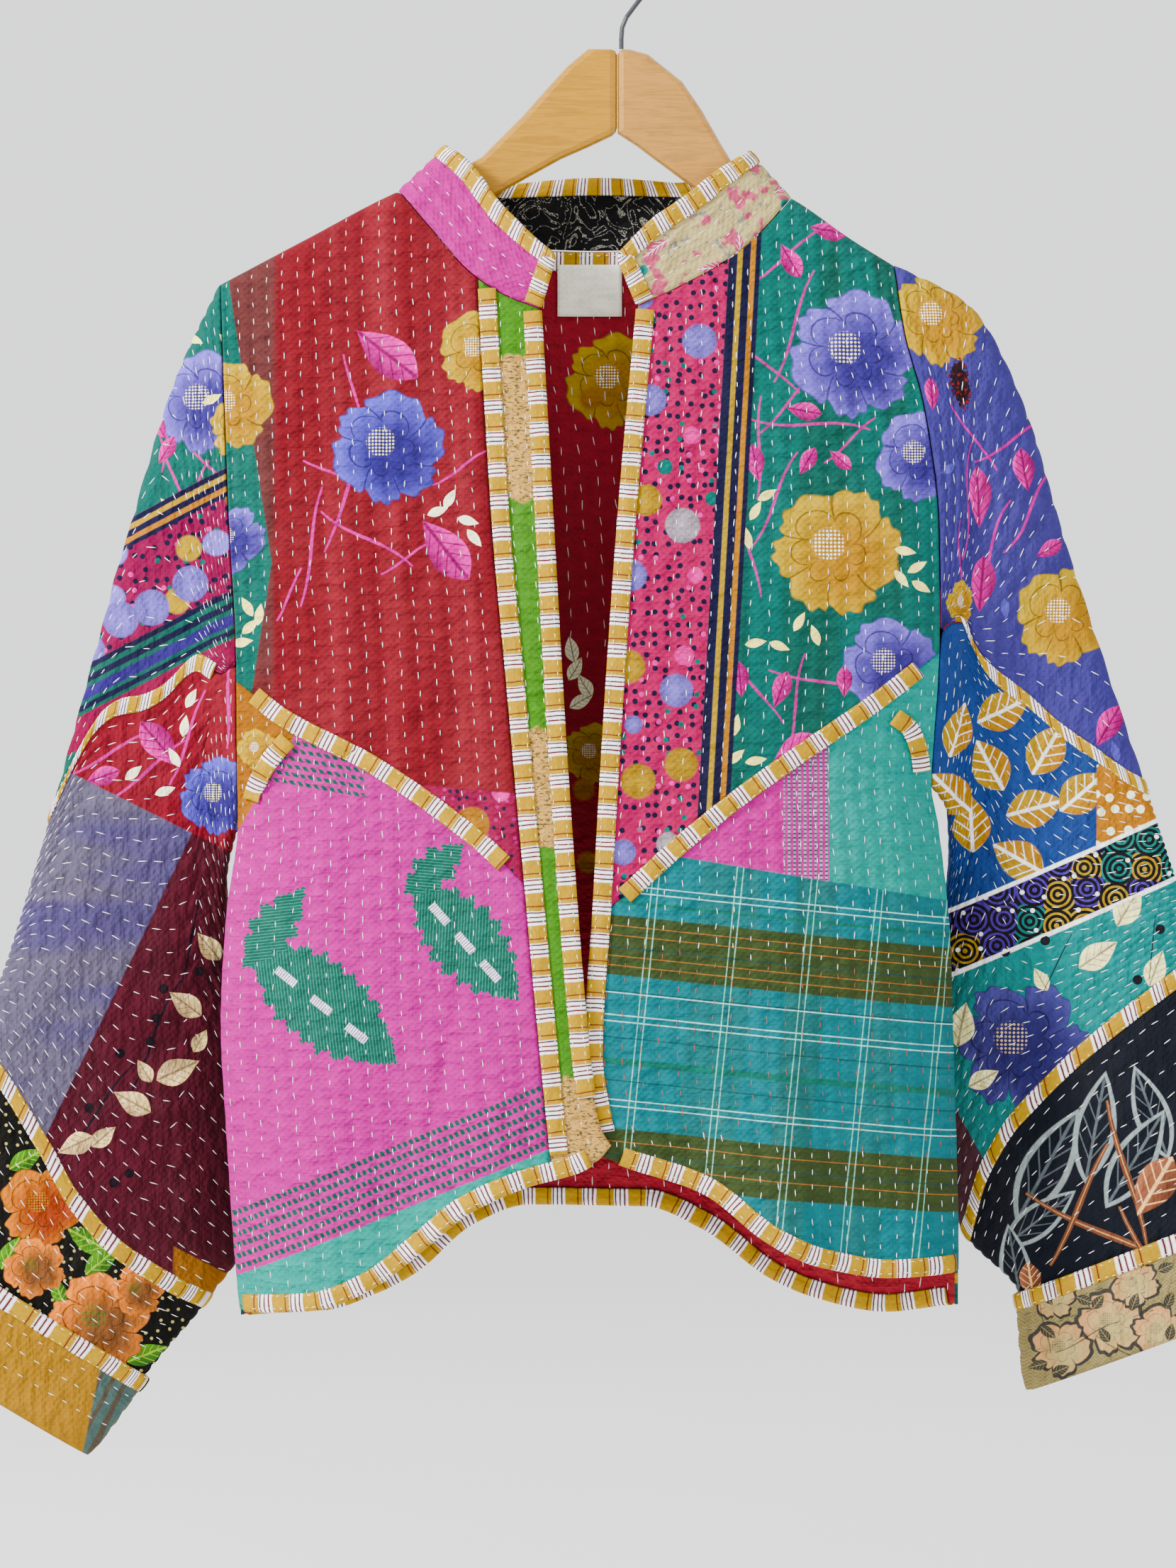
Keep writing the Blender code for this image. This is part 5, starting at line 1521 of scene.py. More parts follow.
def printNavy():
    cloth = PrintedCloth("navy leaf cotton", "0E1119", across=True, fading=0.14)
    for x, y, turn, size in (
        (1340, 1490, 62, 170), (1400, 1440, 80, 150), (1470, 1420, 110, 130), (1330, 1560, 40, 120),
        (1300, 1620, 100, 110), (1450, 1480, 60, 150),
    ):
        length = size * planUnit
        cloth.leaf(x, y, length, length * 0.36, turn, "7F8A8A", fat=0.2)
        cloth.leaf(x, y, length * 0.9, length * 0.27, turn, "0E1119", "525A5F", fat=0.2)
    for row in ((1420, 1580, 110, 150), (1380, 1540, 80, 60), (1460, 1600, 60, 110), (1440, 1500, 90, 100)):
        cloth.stems((row,), "613723", 2.6, wave=40)
        cloth.stems((row,), "BB844E", 0.7, wave=40)
    cloth.leaves(((1475, 1515, 60, 90), (1320, 1640, 100, 50)), "532A1B", "F6C178", fat=-0.3, tip="8F5438")
    cloth.finish("sleeve_right_forearm")


def printBeige():
    cloth = PrintedCloth("beige cuff cotton", "857647", across=True, fading=0.1)
    desk = cloth.desk
    bone = desk.maths("SINE", (cloth.z + desk.maths("PINGPONG", cloth.x, 2.4 * mm)) * 3000.0)
    cloth.lay(desk.edge(bone, 0.1, 0.9), "665B39", 0.7)
    for x, y, size, turn in (
        (1420, 1690, 44, 0.2), (1360, 1725, 40, 0.9), (1350, 1660, 30, 0.4), (1450, 1640, 34, 1.2),
        (1480, 1700, 36, 0.6),
    ):
        cloth.flowers((
            (x, y, size, "charcoal", turn, 5, 0.34), (x, y, size * 0.88, "sand", turn, 5, 0.34),
        ))
    rows = ((1390, 1710, 40, 20), (1440, 1730, 40, 140), (1340, 1700, 30, 90))
    cloth.stems(rows, "2B2A28", 0.9, 3, 90)
    cloth.strewn(20, 11, 6, 0.4, "33322D", "857647")
    cloth.finish("cuff_right")


def printBack():
    # the outside of the back isn't in the photograph: a maroon flowered cotton like its inside
    cloth = PrintedCloth("maroon flowered cotton", "4A0E18", fading=0.16, planned=False)
    rows = [(-180 + 45 * n, -330 - 45 * (n % 3), 90, 60 + 25 * (n % 4)) for n in range(9)]
    cloth.stems(rows, "752554", 1.5, 5, 50)
    cloth.flowers((
        (-120, -290, 33, "yellow", 0.2, 6, 0.2), (20, -250, 30, "violet", 0.8, 6, 0.2),
        (110, -340, 34, "yellow", 1.1, 6, 0.2), (-30, -400, 34, "blue", 0.4, 6, 0.2),
        (-160, -470, 30, "violet", 0.1, 6, 0.2), (80, -500, 32, "yellow", 0.6, 6, 0.2),
    ))
    cloth.strewn(36, 14, 6, 0.45, "EFD188")
    # a teal piece across the bottom
    down = cloth.slope(86)
    low = cloth.desk.under(down, -0.592)
    cloth.lay(low, "0A423B")
    cloth.spots(14.0, 0.24, "977700", share=0.5, limit=low, second="850F55")
    cloth.stripes(down, ((-596, -592, "977705"), (-603, -598, "0F0E2B"), (-770, -764, "977705")))
    cloth.finish("back")


def printLining():
    # what shows inside: through the neck, below the front hems and up the sleeves
    cloth = PrintedCloth("maroon lining cotton", "8E1728", fading=0.1)
    cloth.flowers(((782, 480, 62, "yellow", 0.3, 6, 0.2), (756, 960, 40, "yellow", 0.3, 6, 0.2)))
    rows = ((733, 850, 60), (745, 872, 120), (728, 825, 100), (740, 892, 30))
    cloth.sprigs(rows, "F6F6C9", "775F4A", (16, 8))
    cloth.spots(46.0, 0.16, "966300", share=0.4)
    cloth.finish("lining")


def printCollars():
    PrintedCloth("pink collar cotton", "9C0071", fading=0.06).finish("collar_left")
    cloth = PrintedCloth("cream collar cotton", "AB9A65", fading=0.12)
    desk = cloth.desk
    washed = desk.edge(desk.noise(cloth.place, 75.0, 2.0, 0.6), 0.57, 0.05)
    cloth.lay(washed, "A9295C", 0.9)
    flecks = desk.edge(desk.noise(cloth.place, 110.0, 3.0, 0.7), 0.6, 0.05)
    cloth.lay(flecks, "4F5666", 0.7, 1.0 - washed)
    cloth.strewn(26, 20, 6, 0.5, "AC3F62", "F6F6F6")
    cloth.spots(19.0, 0.2, "036B64", share=0.35)
    cloth.finish("collar_right")
    cloth = PrintedCloth("black collar cotton", "0D0D0F", fading=0.08)
    desk = cloth.desk
    drawn = desk.maths("SINE", desk.noise(cloth.place, 55.0, 2.0, 0.5, 1.5) * 42.0)
    grain = desk.noise(cloth.place, 1500.0, 1.0)
    cloth.lay(desk.edge(drawn, 0.86, 0.12) * desk.edge(grain, 0.5, 0.1), "9D9B8C", 0.8)
    cloth.finish("collar_back")
    PrintedCloth("cream label cotton", "FBF5E4", fading=0.0, relief=0.1).finish("label")


def printTape():
    # printed stripes that run across the tape
    cloth = PrintedCloth("striped yellow tape", "A27C00", fading=0.1, relief=0.4)
    wander = cloth.desk.noise(cloth.place, 90.0, 1.0) * 0.0012
    cloth.stripes(cloth.desk.maths("WRAP", cloth.x + wander, clothSizes["tapeRepeat"] * mm, 0.0), (
        (7.2, 8.0, "5B0F16"), (8.0, 10.2, "A27C00"), (10.2, 18.2, "F6F6F6"), (10.6, 11.6, "530B16"),
        (13.2, 14.2, "530B16"), (15.7, 16.8, "530B16"),
    ))
    cloth.finish("tape", roughness=0.8)


def threadCotton(name, colour):
    cloth = PrintedCloth(name, colour, fading=0.0, relief=0.3)
    desk = cloth.desk
    speck = desk.noise(desk.objectPlace(), 2600.0, 1.0)
    cloth.lay(desk.edge(speck, 0.62, 0.2), (0.35, 0.33, 0.31), 0.35)
    desk.feed(cloth.shader.inputs["Base Color"], cloth.colour)
    cloth.shader.inputs["Roughness"].default_value = 0.7
    cloth.shader.inputs["Sheen Weight"].default_value = 0.2
    return cloth.material


for draw in (
    printRed, printPink, printPlacket, printTeal, printPlaid, printCapLeft, printMaroonSleeve, printBlack,
    printOchre, printViolet, printBlueSleeve, printNavy, printBeige, printBack, printLining,
    printCollars, printTape,
):
    draw()
threads = {
    "white": threadCotton("white sewing thread", "F6F6F6"),
    "orange": threadCotton("orange sewing thread", "983000"),
    "black": threadCotton("black sewing thread", "161519"),
    "yellow": threadCotton("pale yellow thread", "F6F6C6"),
}
print("printed cottons ready")


# the body's panels, with the lining as each one's inside

for name in bodyPanels:
    declareCut(makeBodyPanel(name), name)
print("body panels made")


# the sleeves' pieces: rings of cloth, and the upper ones, which are open under the arm

roundColumns = 128
sleeveCuts = {  # hand, seams above and below, rows of stitches, ends round the sleeve, slot
    "sleeve_left_upper": ("left", None, arcLeft, 16, (1.37, 2.63), "cotton_teal"),
    "sleeve_left_middle": ("left", arcLeft, slantLeft, 26, (1.0, 3.0), "cotton_maroon"),
    "sleeve_left_forearm": ("left", slantLeft, None, 14, (1.0, 3.0), "cotton_black"),
    "sleeve_right_upper": ("right", None, arcRight, 16, (1.37, 2.63), "cotton_violet"),
    "sleeve_right_middle": ("right", arcRight, slantRight, 26, (1.0, 3.0), "cotton_blue"),
    "sleeve_right_forearm": ("right", slantRight, None, 14, (1.0, 3.0), "cotton_navy"),
}


def sleeveWhere(cut, share, down):
    hand, above, below, _, ends, _ = cut
    w = mix(ends[0], ends[1], share)
    f = sleeveForms[hand].share(w)
    top = 0.0005 if above is None else np.maximum(at(above, f) + 0.0008, 0.0005)
    bottom = collarSizes["cuffFold"] if below is None else np.maximum(at(below, f) - 0.0008, 0.0045)
    return w, mix(top, bottom, down)


def ringOut(shape, form):
    if form.outwards < 0:
        bmesh.ops.reverse_faces(shape, faces=shape.faces[:])
    return shape


def makeSleevePart(name):
    cut = sleeveCuts[name]
    hand, _, _, stitchRows, _, slotName = cut
    form = sleeveForms[hand]
    columns, rows = roundColumns, stitchRows * perRow

    def place(i, j):
        w, g = sleeveWhere(cut, i / columns, j / rows)
        flat = form.unfolded(w, g)
        return form.wall(w, g, pucker(j / perRow) + smallWaves(flat[..., 0], flat[..., 1]))

    def flatPlace(i, j):
        return form.unfolded(*sleeveWhere(cut, i / columns, j / rows))

    shape = ringOut(gridShape(columns, rows, place, flatPlace), form)
    return thicken(finishPiece(name + "_cloth", shape, [cloths[name], cloths["lining"]], slotName))


for name in sleeveCuts:
    declareCut(makeSleevePart(name), name)


# turned-back cuffs: up over the sleeve's end, round its fold and a little way inside

cuffSizes = {
    "rows": 30, "thickness": 1.5, "stitchRows": 5,
    "quilted": 0.8,  # share of its way that is quilted
    "foldAt": 0.89, "inside": 120,  # the fold on that way, and how long the way past it would lie flat
}
cuffPath = (  # way down the cuff, share of the sleeve's length, offset from its cloth
    (0.0, 0.865, 3.3), (0.5, 0.93, 3.9), (0.78, 0.980, 3.7), (0.86, 0.998, 2.7), (0.89, 1.003, 0.2),
    (0.92, 0.998, -2.6), (1.0, 0.965, -3.8),
)


def cuffPlace(form, w, t, lift):
    return form.wall(w, at(cuffPath, t), at(cuffPath, t, 2) + lift)


def makeCuff(hand, slotName):
    form, columns, rows = sleeveForms[hand], roundColumns, cuffSizes["rows"]

    def place(i, j):
        t = j / rows
        lift = 0.8 * pucker(t * cuffSizes["stitchRows"]) + smallWaves(i * 3.1, j * 2.9, 1.6)
        return cuffPlace(form, 1 + 2 * i / columns, t, lift * (t < cuffSizes["quilted"]))

    def flatPlace(i, j):
        fold = cuffSizes["foldAt"]
        flat = form.unfolded(1 + 2 * i / columns, at(cuffPath, np.minimum(j / rows, fold)))
        flat[..., 1] += np.maximum(j / rows - fold, 0) * cuffSizes["inside"]
        return flat

    shape = ringOut(gridShape(columns, rows, place, flatPlace), form)
    cuff = finishPiece(f"cuff_{hand}_cloth", shape, [cloths[f"cuff_{hand}"]], slotName)
    return thicken(cuff, cuffSizes["thickness"])


for hand, slotName in (("left", "cotton_ochre"), ("right", "cotton_cream")):
    declareCut(makeCuff(hand, slotName), f"cuff_{hand}")
print("sleeves and cuffs made")


# the stand collar, its three stretches, and what is sewn inside the neck

collarCuts = {  # shares of the neck seam, slot
    "collar_left": (0.0008, 0.3292, "cotton_pink"), "collar_back": (0.3308, 0.6692, "cotton_black"),
    "collar_right": (0.6708, 0.9992, "cotton_cream"),
}
labelSizes = {"left": -36, "right": 2, "top": -188, "bottom": -218, "under": -3.6}


def makeCollar(name):
    start, end, slotName = collarCuts[name]
    columns, rows = ((60, 20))
    top = collarSizes["height"]

    def where(i, j):
        return mix(start, end, i / columns) * neckLength, mix(collarSizes["foot"], top, j / rows)

    def place(i, j):
        along, up = where(i, j)
        return collarWall(along, up, 0.8 * pucker(j / rows * 4) + smallWaves(along * 1.3, up * 2.0, 1.8))

    shape = gridShape(columns, rows, place, lambda i, j: np.stack(where(i, j), -1))
    bmesh.ops.reverse_faces(shape, faces=shape.faces[:])
    return thicken(finishPiece(name + "_cloth", shape, [cloths[name], cloths["collar_back"]], slotName))


for name in collarCuts:
    declareCut(makeCollar(name), name)


def makeLabel():
    sizes, columns, rows = labelSizes, 16, 12

    def where(i, j):
        return mix(sizes["left"], sizes["right"], i / columns), mix(sizes["bottom"], sizes["top"], j / rows)

    def place(i, j):
        x, z = where(i, j)
        return bodyWall(x, z, 1, sizes["under"] + 0.12 * np.sin(i * 0.9) * np.sin(j * 0.7))

    shape = gridShape(columns, rows, place, lambda i, j: np.stack(where(i, j), -1))
    turnOutwards(shape, lambda point: Vector((0, -1, 0)))
    label = finishPiece("neck_label_cloth", shape, [cloths["label"]], "cotton_cream")
    return thicken(label, -0.5)


declareCut(makeLabel(), "neck_label")
print("collar and label made")


# printed tape, swept along its seam with a rounded profile of (across, offset) points

tapeHalf = clothSizes["tapeWidth"] / 2
flatTape = (
    (-tapeHalf + 0.4, 0.35), (tapeHalf - 0.4, 0.35), (tapeHalf, 0.8), (tapeHalf - 0.2, 1.3),
    (tapeHalf - 1.1, 1.5),
    (tapeHalf - 2.3, 1.85), (0, 2.0), (-tapeHalf + 2.3, 1.85), (-tapeHalf + 1.1, 1.5), (-tapeHalf + 0.2, 1.3),
    (-tapeHalf, 0.8),
)
edgeTape = (
    (8.8, 0.4), (9.5, 0.8), (9.3, 1.3), (8.3, 1.5), (7.0, 1.85), (3.8, 2.05), (0.6, 1.85), (-0.8, 1.2),
    (-1.25, 0.1),
    (-1.3, -1.5), (-0.9, -2.7), (0.4, -3.3), (3.5, -3.4), (8.4, -3.1), (9.3, -2.7), (8.8, -2.3), (0.2, -2.2),
    (-0.3, -1.6), (-0.3, 0.0), (0.3, 0.5),
)
cuffTape = (
    (-tapeHalf + 0.2, 0.9), (-tapeHalf - 0.1, 2.2), (-tapeHalf + 0.3, 4.2), (-tapeHalf + 1.4, 4.9), (0, 5.35),
    (tapeHalf - 2, 5.2), (tapeHalf - 1.1, 4.95), (tapeHalf - 0.2, 4.7), (tapeHalf, 4.2),
    (tapeHalf - 0.5, 3.7),
    (-0.8, 3.5), (-1.2, 0.9),
)
neckTape = (
    (-11, -2.3), (-0.6, -2.3), (-0.2, -2.8), (-0.6, -3.3), (-2, -3.4), (-9, -3.4), (-10.6, -3.3),
    (-11.2, -2.8),
)


def raisedBy(profile, lift):
    return tuple((across, offset + lift) for across, offset in profile)


def makeTape(name, place, length, profile, node, closed=False, step=2.2):
    count = max(int(length / (step * 1)), 4)
    across, offset = [np.array(column) for column in zip(*profile, profile[0])]
    around = np.concatenate(([0], np.cumsum(np.hypot(np.diff(across), np.diff(offset)))))

    def points(i, j):
        j = j.astype(int)
        uneven = 0.12 * np.sin(i * 0.83) * np.sin(i * 0.31 + 1.1)
        return place(i / count, across[j], offset[j] + uneven * np.sign(offset[j] + 0.8))

    def flatPlace(i, j):
        return np.stack((i / count * length, around[j.astype(int)]), -1)

    shape = gridShape(count, len(profile), points, flatPlace)
    bmesh.ops.remove_doubles(shape, verts=shape.verts[:], dist=0.000001)
    if not closed:
        ends = [edge for edge in shape.edges if edge.is_boundary]
        bmesh.ops.holes_fill(shape, edges=ends, sides=0)
    bmesh.ops.recalc_face_normals(shape, faces=shape.faces[:])
    piece = finishPiece(name, shape, [cloths["tape"]], "binding")
    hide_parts(node)
    return piece


def pathOf(points):
    rows = [(0.0, *points[0])]
    for before, after in zip(points, points[1:]):
        rows.append((rows[-1][0] + math.dist(before, after), *after))
    return tuple(rows)


def onPath(rows, t):
    length = np.clip(t, 0, 1) * rows[-1][0]
    low, high = np.maximum(length - 1, 0), np.minimum(length + 1, rows[-1][0])
    step = np.stack([at(rows, high, c) - at(rows, low, c) for c in (1, 2)], -1)
    return at(rows, length, 1), at(rows, length, 2), unit(step)


def bodyTapePlace(rows, side, turn, lapped):
    def place(t, across, offset):
        x, z, way = onPath(rows, t)
        aside = across * turn
        return bodyWall(x - way[..., 1] * aside, z + way[..., 0] * aside, side, offset, lapped)

    return place


def partOf(points, first, last):
    inside = [point for point in points if first < point[0] < last]
    return ((first, float(at(points, first))), *inside, (last, float(at(points, last))))


def downPath(table, top, bottom, aside=0):
    heights = [top, *sorted((row[0] for row in table if bottom < row[0] < top), reverse=True), bottom]
    return tuple((float(at(table, z)) + aside, z) for z in heights)


bodyTapes = {  # path, side, profile, turn, lapped, the panel it is sewn to
    "seam_left": (partOf(seamLeft, -211, -66), -1, raisedBy(flatTape, 0.3), 1, True, "front_left_lower"),
    "seam_right": (partOf(seamRight, 3, 173), -1, raisedBy(flatTape, 0.45), 1, False, "front_right_lower"),
    "placket": (downPath(placketSeam, -207, -706, tapeHalf - 0.5), -1, flatTape, 1, True, "placket"),
    "front_left": (downPath(frontEdgeLeft, -220, -673), -1, edgeTape, -1, True, "placket"),
    "front_right": (downPath(frontEdgeRight, -219, -694), -1, edgeTape, 1, False, "front_right_upper"),
    "hem_left": (partOf(hemFrontLeft, -217, -16), -1, edgeTape, 1, True, "front_left_lower"),
    "hem_right": (partOf(hemFrontRight, 0, 195), -1, edgeTape, 1, False, "front_right_lower"),
    "hem_back": (partOf(hemBack, -217, 195), 1, edgeTape, 1, False, "back"),
    "underarm_left": (underarmLeft, -1, raisedBy(flatTape, 1.2), 1, True, "front_left_upper"),
    "underarm_right": (underarmRight, -1, raisedBy(flatTape, 1.2), 1, False, "front_right_upper"),
}
tapeLines = []  # place(t, across, offset), length, lines of topstitch as (across, offset)
flatEdges, foldEdges = ((-tapeHalf + 1.1, 1.55), (tapeHalf - 1.1, 1.55)), ((8.3, 1.5), (1.4, 2.0))
for name, (path, side, profile, turn, lapped, panel) in bodyTapes.items():
    rows = pathOf(path)
    place = bodyTapePlace(rows, side, turn, lapped)
    piece = makeTape(f"tape_{name}", place, rows[-1][0], profile, f"binding_{name}")
    sewOn(piece, panel)
    plain, edges = (edgeTape, foldEdges) if len(profile) == len(edgeTape) else (flatTape, flatEdges)
    lift = profile[0][1] - plain[0][1]
    tapeLines.append((place, rows[-1][0], [(across, offset + lift) for across, offset in edges]))


def collarPath():
    # up one front end of the collar, along its top and down the other: along, up, inwards, down
    low, tall, first, last, bend = collarSizes["foot"] + 1, collarSizes["height"], 0.4, neckLength - 0.4, 3.0

    def corner(end, inwards, turns):
        for turn in np.radians(turns):
            gone = bend * (1 - math.cos(turn))
            up = tall - bend * (1 - math.sin(turn))
            yield end + inwards * gone, up, inwards * math.cos(turn), math.sin(turn)

    rows = [(first, up, 1, 0) for up in np.linspace(low, tall - bend, 16)]
    rows += corner(first, 1, (22, 45, 68))
    rows += [(along, tall, 0, 1) for along in np.linspace(first + bend, last - bend, 150)]
    rows += corner(last, -1, (68, 45, 22))
    rows += [(last, up, -1, 0) for up in np.linspace(tall - bend, low, 16)]
    return np.array(rows, float)


collarRows = collarPath()
collarFar = np.concatenate(([0], np.cumsum(np.linalg.norm(np.diff(collarRows[:, :2], axis=0), axis=1))))


def collarTapePlace(t, across, offset):
    along, up, inwards, down = [
        np.interp(np.asarray(t) * collarFar[-1], collarFar, collarRows[:, column]) for column in range(4)
    ]
    up = up - down * across
    wanted = along + inwards * across
    along = np.clip(wanted, 0, neckLength)
    sample = np.where(along < neckLength / 2, 0.0, neckLength - 1)
    beyond = (collarPoint(sample + 1, up) - collarPoint(sample, up)) * (wanted - along)[..., None]
    return collarWall(along, up, offset) + beyond


piece = makeTape("tape_collar", collarTapePlace, collarFar[-1], edgeTape, "binding_collar")
sewOn(piece, "collar_back")
tapeLines.append((collarTapePlace, collarFar[-1], list(foldEdges)))


def neckTapePlace(t, across, offset):
    x = mix(neckBack[0][0] + 12.0, neckBack[-1][0] - 10.0, t)
    return bodyWall(x, at(neckBack, x) + across, 1, offset)


neckTapeLength = 225.0
sewOn(makeTape("tape_neck", neckTapePlace, neckTapeLength, neckTape, "neck_tape"), "back")
tapeLines.append((neckTapePlace, neckTapeLength, [(-1.6, -3.5), (-9.8, -3.5)]))


def sleeveTapePlace(form, seam, ends):
    def place(t, across, offset):
        w = mix(ends[0], ends[1], t)
        g = seam(form.share(w))
        return form.wall(w, g + across / form.speed(w, g), offset)

    return place


sleeveTapes = {  # hand, the seam, profile, ends round the sleeve, the panel it is sewn to
    "arc_left": ("left", edgeOf(arcLeft), flatTape, (1.41, 2.59), "sleeve_left_upper"),
    "arc_right": ("right", edgeOf(arcRight), flatTape, (1.41, 2.59), "sleeve_right_upper"),
    "slant_left": ("left", edgeOf(slantLeft), flatTape, (1.0, 3.0), "sleeve_left_middle"),
    "slant_right": ("right", edgeOf(slantRight), flatTape, (1.0, 3.0), "sleeve_right_middle"),
    "cuff_left": ("left", lambda f: collarSizes["cuffEdge"] + 0 * f, cuffTape, (1.0, 3.0), "cuff_left"),
    "cuff_right": ("right", lambda f: collarSizes["cuffEdge"] + 0 * f, cuffTape, (1.0, 3.0), "cuff_right"),
}
for name, (hand, seam, profile, ends, panel) in sleeveTapes.items():
    place = sleeveTapePlace(sleeveForms[hand], seam, ends)
    middle = place(np.linspace(0, 1, 400), np.zeros(400), np.zeros(400))
    length = float(np.sum(np.linalg.norm(np.diff(middle, axis=0), axis=1)))
    piece = makeTape(f"tape_{name}", place, length, profile, f"binding_{name}", closed=ends[0] == 1.0)
    sewOn(piece, panel)
    lift = 3.4 if name.startswith("cuff") else 0.0
    tapeLines.append((place, length, [(across, offset + lift) for across, offset in flatEdges]))
print("tapes made")


# running stitches in rows down the body and across the sleeves

sewing = {
    "plaidThread": "orange", "cuffThread": "black", "topstitchEvery": 5.2, "topstitchLength": 2.9,
    "topstitchWidth": 0.5, "insideEvery": 12.0, "insideLength": 6.2,
}


def plaidPart(places):
    # the lower right front's turquoise plaid, sewn in orange
    z = places[:, 2] + places[:, 0] * 0.12
    return (z < -585) & (z > -690)


def pairs(rowOf, shares, low=0.0):
    # each row as it is sewn, and lifted by 1 mm
    return [rowOf(share, low) for share in shares], [rowOf(share, low + 1.0) for share in shares]


def between(count):
    return [k / count for k in range(1, count)]


def panelLines(name, inside=False):
    # inside: the same rows seen on the cloth's other face
    cut = bodyPanels[name]
    face = -1 if inside else 1
    under = clothSizes["thickness"] if inside else 0

    def rowOf(share, extra):
        def line(t):
            x, z = panelPlace(cut, np.full_like(t, share), t)
            return bodyWall(x, z, cut["side"], smallWaves(x, z) - under + face * extra, cut["lapped"])

        return line

    return pairs(rowOf, between(cut["stitchRows"]), 0.05 if inside else 0.0)


for name in bodyPanels:
    lines = panelLines(name)
    if name == "front_right_lower":
        for thread, keep in (("white", lambda p: ~plaidPart(p)), (sewing["plaidThread"], plaidPart)):
            sewOn(sewRows(f"stitches_{name}_{thread}", *lines, thread=thread, keep=keep), name)
    else:
        sewOn(sewRows(f"stitches_{name}", *lines), name)


def inView(places):
    # where the neck and the hems leave the back's inside in view
    x, z = places[:, 0], places[:, 2]
    return ((z > -420) & (np.abs(x + 16) < 90)) | (z < -690)


piece = sewRows(
    "stitches_back_inside", *panelLines("back", True), every=sewing["insideEvery"],
    length=sewing["insideLength"], keep=inView,
)
sewOn(piece, "back")


def sleeveLines(name):
    cut = sleeveCuts[name]
    form, stitchRows = sleeveForms[cut[0]], cut[3]

    def rowOf(down, extra):
        def line(t):
            w, g = sleeveWhere(cut, t, down)
            flat = form.unfolded(w, g)
            return form.wall(w, g, smallWaves(flat[..., 0], flat[..., 1]) + extra)

        return line

    return pairs(rowOf, between(stitchRows))


for name in sleeveCuts:
    piece = sewRows(
        f"stitches_{name}", *sleeveLines(name), every=clothSizes["sleeveStitchEvery"],
        length=clothSizes["sleeveStitchLength"],
    )
    sewOn(piece, name)


def cuffLines(hand):
    form = sleeveForms[hand]

    def rowOf(t, extra):
        return lambda share: cuffPlace(form, 1 + 2 * share, np.full_like(share, t), extra)

    return pairs(rowOf, between(cuffSizes["stitchRows"])[:3])


for hand, thread in (("left", "white"), ("right", sewing["cuffThread"])):
    sewOn(sewRows(f"stitches_cuff_{hand}", *cuffLines(hand), thread=thread), f"cuff_{hand}")


def collarLines(name):
    start, end, _ = collarCuts[name]

    def rowOf(height, extra):
        def line(t):
            along, up = mix(start, end, t) * neckLength, np.full_like(t, height)
            return collarWall(along, up, smallWaves(along * 1.3, up * 2.0, 1.8) + extra)

        return line

    return pairs(rowOf, [mix(collarSizes["foot"], collarSizes["height"], share) for share in (0.25, 0.5)])


for name in collarCuts:
    sewOn(sewRows(f"stitches_{name}", *collarLines(name)), name)


def topstitch(name, tapes):
    # small stitches along both edges of each tape
    lines, lifted = [], []
    for place, _, edges in tapes:
        for across, offset in edges:
            for found, height in ((lines, offset), (lifted, offset + (1 if offset > -2 else -1))):
                found.append(
                    lambda t, p=place, a=across, h=height: p(t, np.full_like(t, a), np.full_like(t, h))
                )
    return sewRows(
        name, lines, lifted, sewing["topstitchEvery"], "yellow", "binding", sewing["topstitchLength"],
        sewing["topstitchWidth"],
    )


sewOn(topstitch("topstitch_body", tapeLines[:12]), "back")
sewOn(topstitch("topstitch_sleeves", tapeLines[12:]), "sleeve_left_middle")
print("sewing done")


# the hanger keeps its solids' shape: two glued halves of wood and a bright steel wire

hangerLooks = {"left": "AC7808", "right": "AE7A30", "grain": 240.0, "wire": "3E3F42"}


def woodMaterial(name, colour):
    material, desk, shader = freshMaterial(name)
    where = desk.objectPlace()
    drawn = desk.vector("MULTIPLY", where, (0.12, 1.0, 1.0))
    grain = desk.noise(drawn, hangerLooks["grain"], 4.0, 0.6, 1.2)
    pores = desk.noise(desk.drawnOut(where, 0.05, 1.0), 1900.0, 1.0)
    deep = tuple(channel * 0.55 for channel in srgb(colour))
    tone = desk.paint(srgb(colour), desk.edge(grain, 0.55, 0.2) * 0.5, deep)
    tone = desk.paint(tone, desk.edge(pores, 0.62, 0.1) * 0.35, deep)
    bump = desk.add("ShaderNodeBump")
    bump.inputs["Distance"].default_value = 0.0002
    relief = desk.outputs(desk.fill(bump, Height=pores))["Normal"]
    desk.fill(shader, Base_Color=tone, Roughness=desk.scaled(grain, 0.2, 0.3), Normal=relief)
    shader.inputs["Coat Weight"].default_value = 0.12
    shader.inputs["Specular IOR Level"].default_value = 0.2
    shader.inputs["Coat Roughness"].default_value = 0.2
    return material


def steelMaterial():
    material, desk, shader = freshMaterial("bright steel wire")
    drawn = desk.noise(desk.objectPlace(), 900.0, 3.0)
    shader.inputs["Base Color"].default_value = (*srgb(hangerLooks["wire"]), 1)
    shader.inputs["Metallic"].default_value = 1.0
    desk.feed(shader.inputs["Roughness"], desk.scaled(drawn, 0.3, 0.15))
    return material


def dress(node, material):
    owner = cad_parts[node]
    owner = bpy.data.objects[owner] if isinstance(owner, str) else owner
    if not len(owner.material_slots):
        owner.data.materials.append(material)
    for place in owner.material_slots:
        place.material = material


dress("hanger_wood_left", woodMaterial("honey wood", hangerLooks["left"]))
dress("hanger_wood_right", woodMaterial("reddish wood", hangerLooks["right"]))
dress("hanger_hook", steelMaterial())
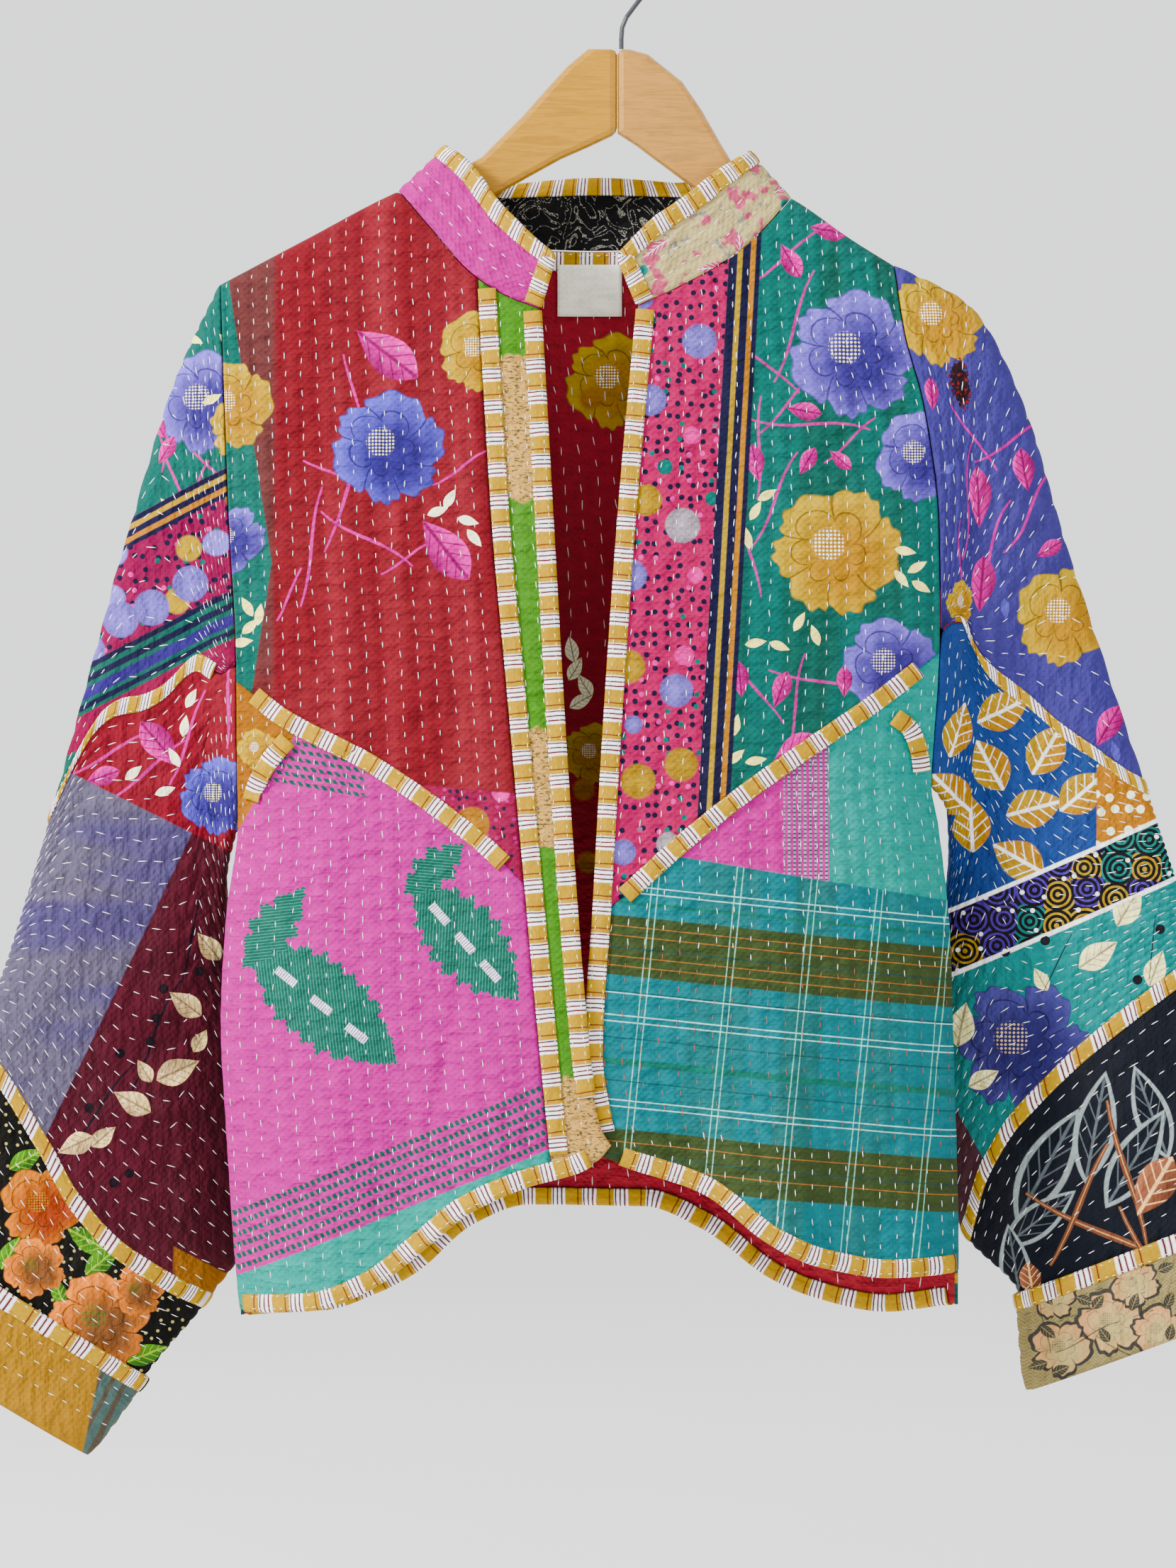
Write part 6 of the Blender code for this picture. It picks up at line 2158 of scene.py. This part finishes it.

# every panel, sleeve piece, cuff, collar piece and the label is declared above with the size it was cut to

# floor, light and camera

view = {
    "middle": (-0.018, -0.494), "height": 0.916, "distance": 3.0, "cloth": 0.0, "floor": -1.05,
    "key": 185.0, "fill": 10.0, "sky": 1.8,
}


def makeFloor():
    shape = bmesh.new()
    bmesh.ops.create_grid(shape, x_segments=8, y_segments=8, size=4.0)
    mesh = bpy.data.meshes.new("floor")
    shape.to_mesh(mesh)
    shape.free()
    material, desk, shader = freshMaterial("pale floor")
    soft = desk.noise(desk.objectPlace(), 3.0, 2.0)
    desk.feed(shader.inputs["Base Color"], desk.paint((0.78, 0.78, 0.77), soft, (0.82, 0.82, 0.81)))
    shader.inputs["Roughness"].default_value = 0.85
    mesh.materials.append(material)
    floor = bpy.data.objects.new("floor", mesh)
    floor.location = (0, 0, view["floor"])
    bpy.context.scene.collection.objects.link(floor)


def areaLight(name, place, aim, size, power):
    data = bpy.data.lights.new(name, "AREA")
    data.shape, data.size, data.size_y, data.energy = "RECTANGLE", size[0], size[1], power
    light = bpy.data.objects.new(name, data)
    light.location = place
    light.rotation_euler = (Vector(aim) - Vector(place)).to_track_quat("-Z", "Y").to_euler()
    bpy.context.scene.collection.objects.link(light)


makeFloor()
areaLight("key light", (-2.1, -1.15, 1.0), (0, 0, -0.45), (0.6, 0.6), view["key"])
areaLight("fill light", (1.8, -1.5, -0.1), (0, 0, -0.5), (1.6, 1.6), view["fill"])
areaLight("back light", (0.4, 1.8, 0.8), (0, 0, -0.4), (1.6, 1.2), view["fill"] * 0.8)
world = bpy.data.worlds.new("pale room")
world.use_nodes = True
world.node_tree.nodes["Background"].inputs["Color"].default_value = (0.93, 0.94, 0.95, 1)
world.node_tree.nodes["Background"].inputs["Strength"].default_value = view["sky"]
bpy.context.scene.world = world

lens = bpy.data.cameras.new("camera")
lens.sensor_width = 36
lens.lens = 36 * view["distance"] / view["height"]
lens.clip_start = 0.05
camera = bpy.data.objects.new("camera", lens)
camera.location = (view["middle"][0], view["cloth"] - view["distance"], view["middle"][1])
camera.rotation_euler = (math.radians(90), 0, 0)
bpy.context.scene.collection.objects.link(camera)
bpy.context.scene.camera = camera
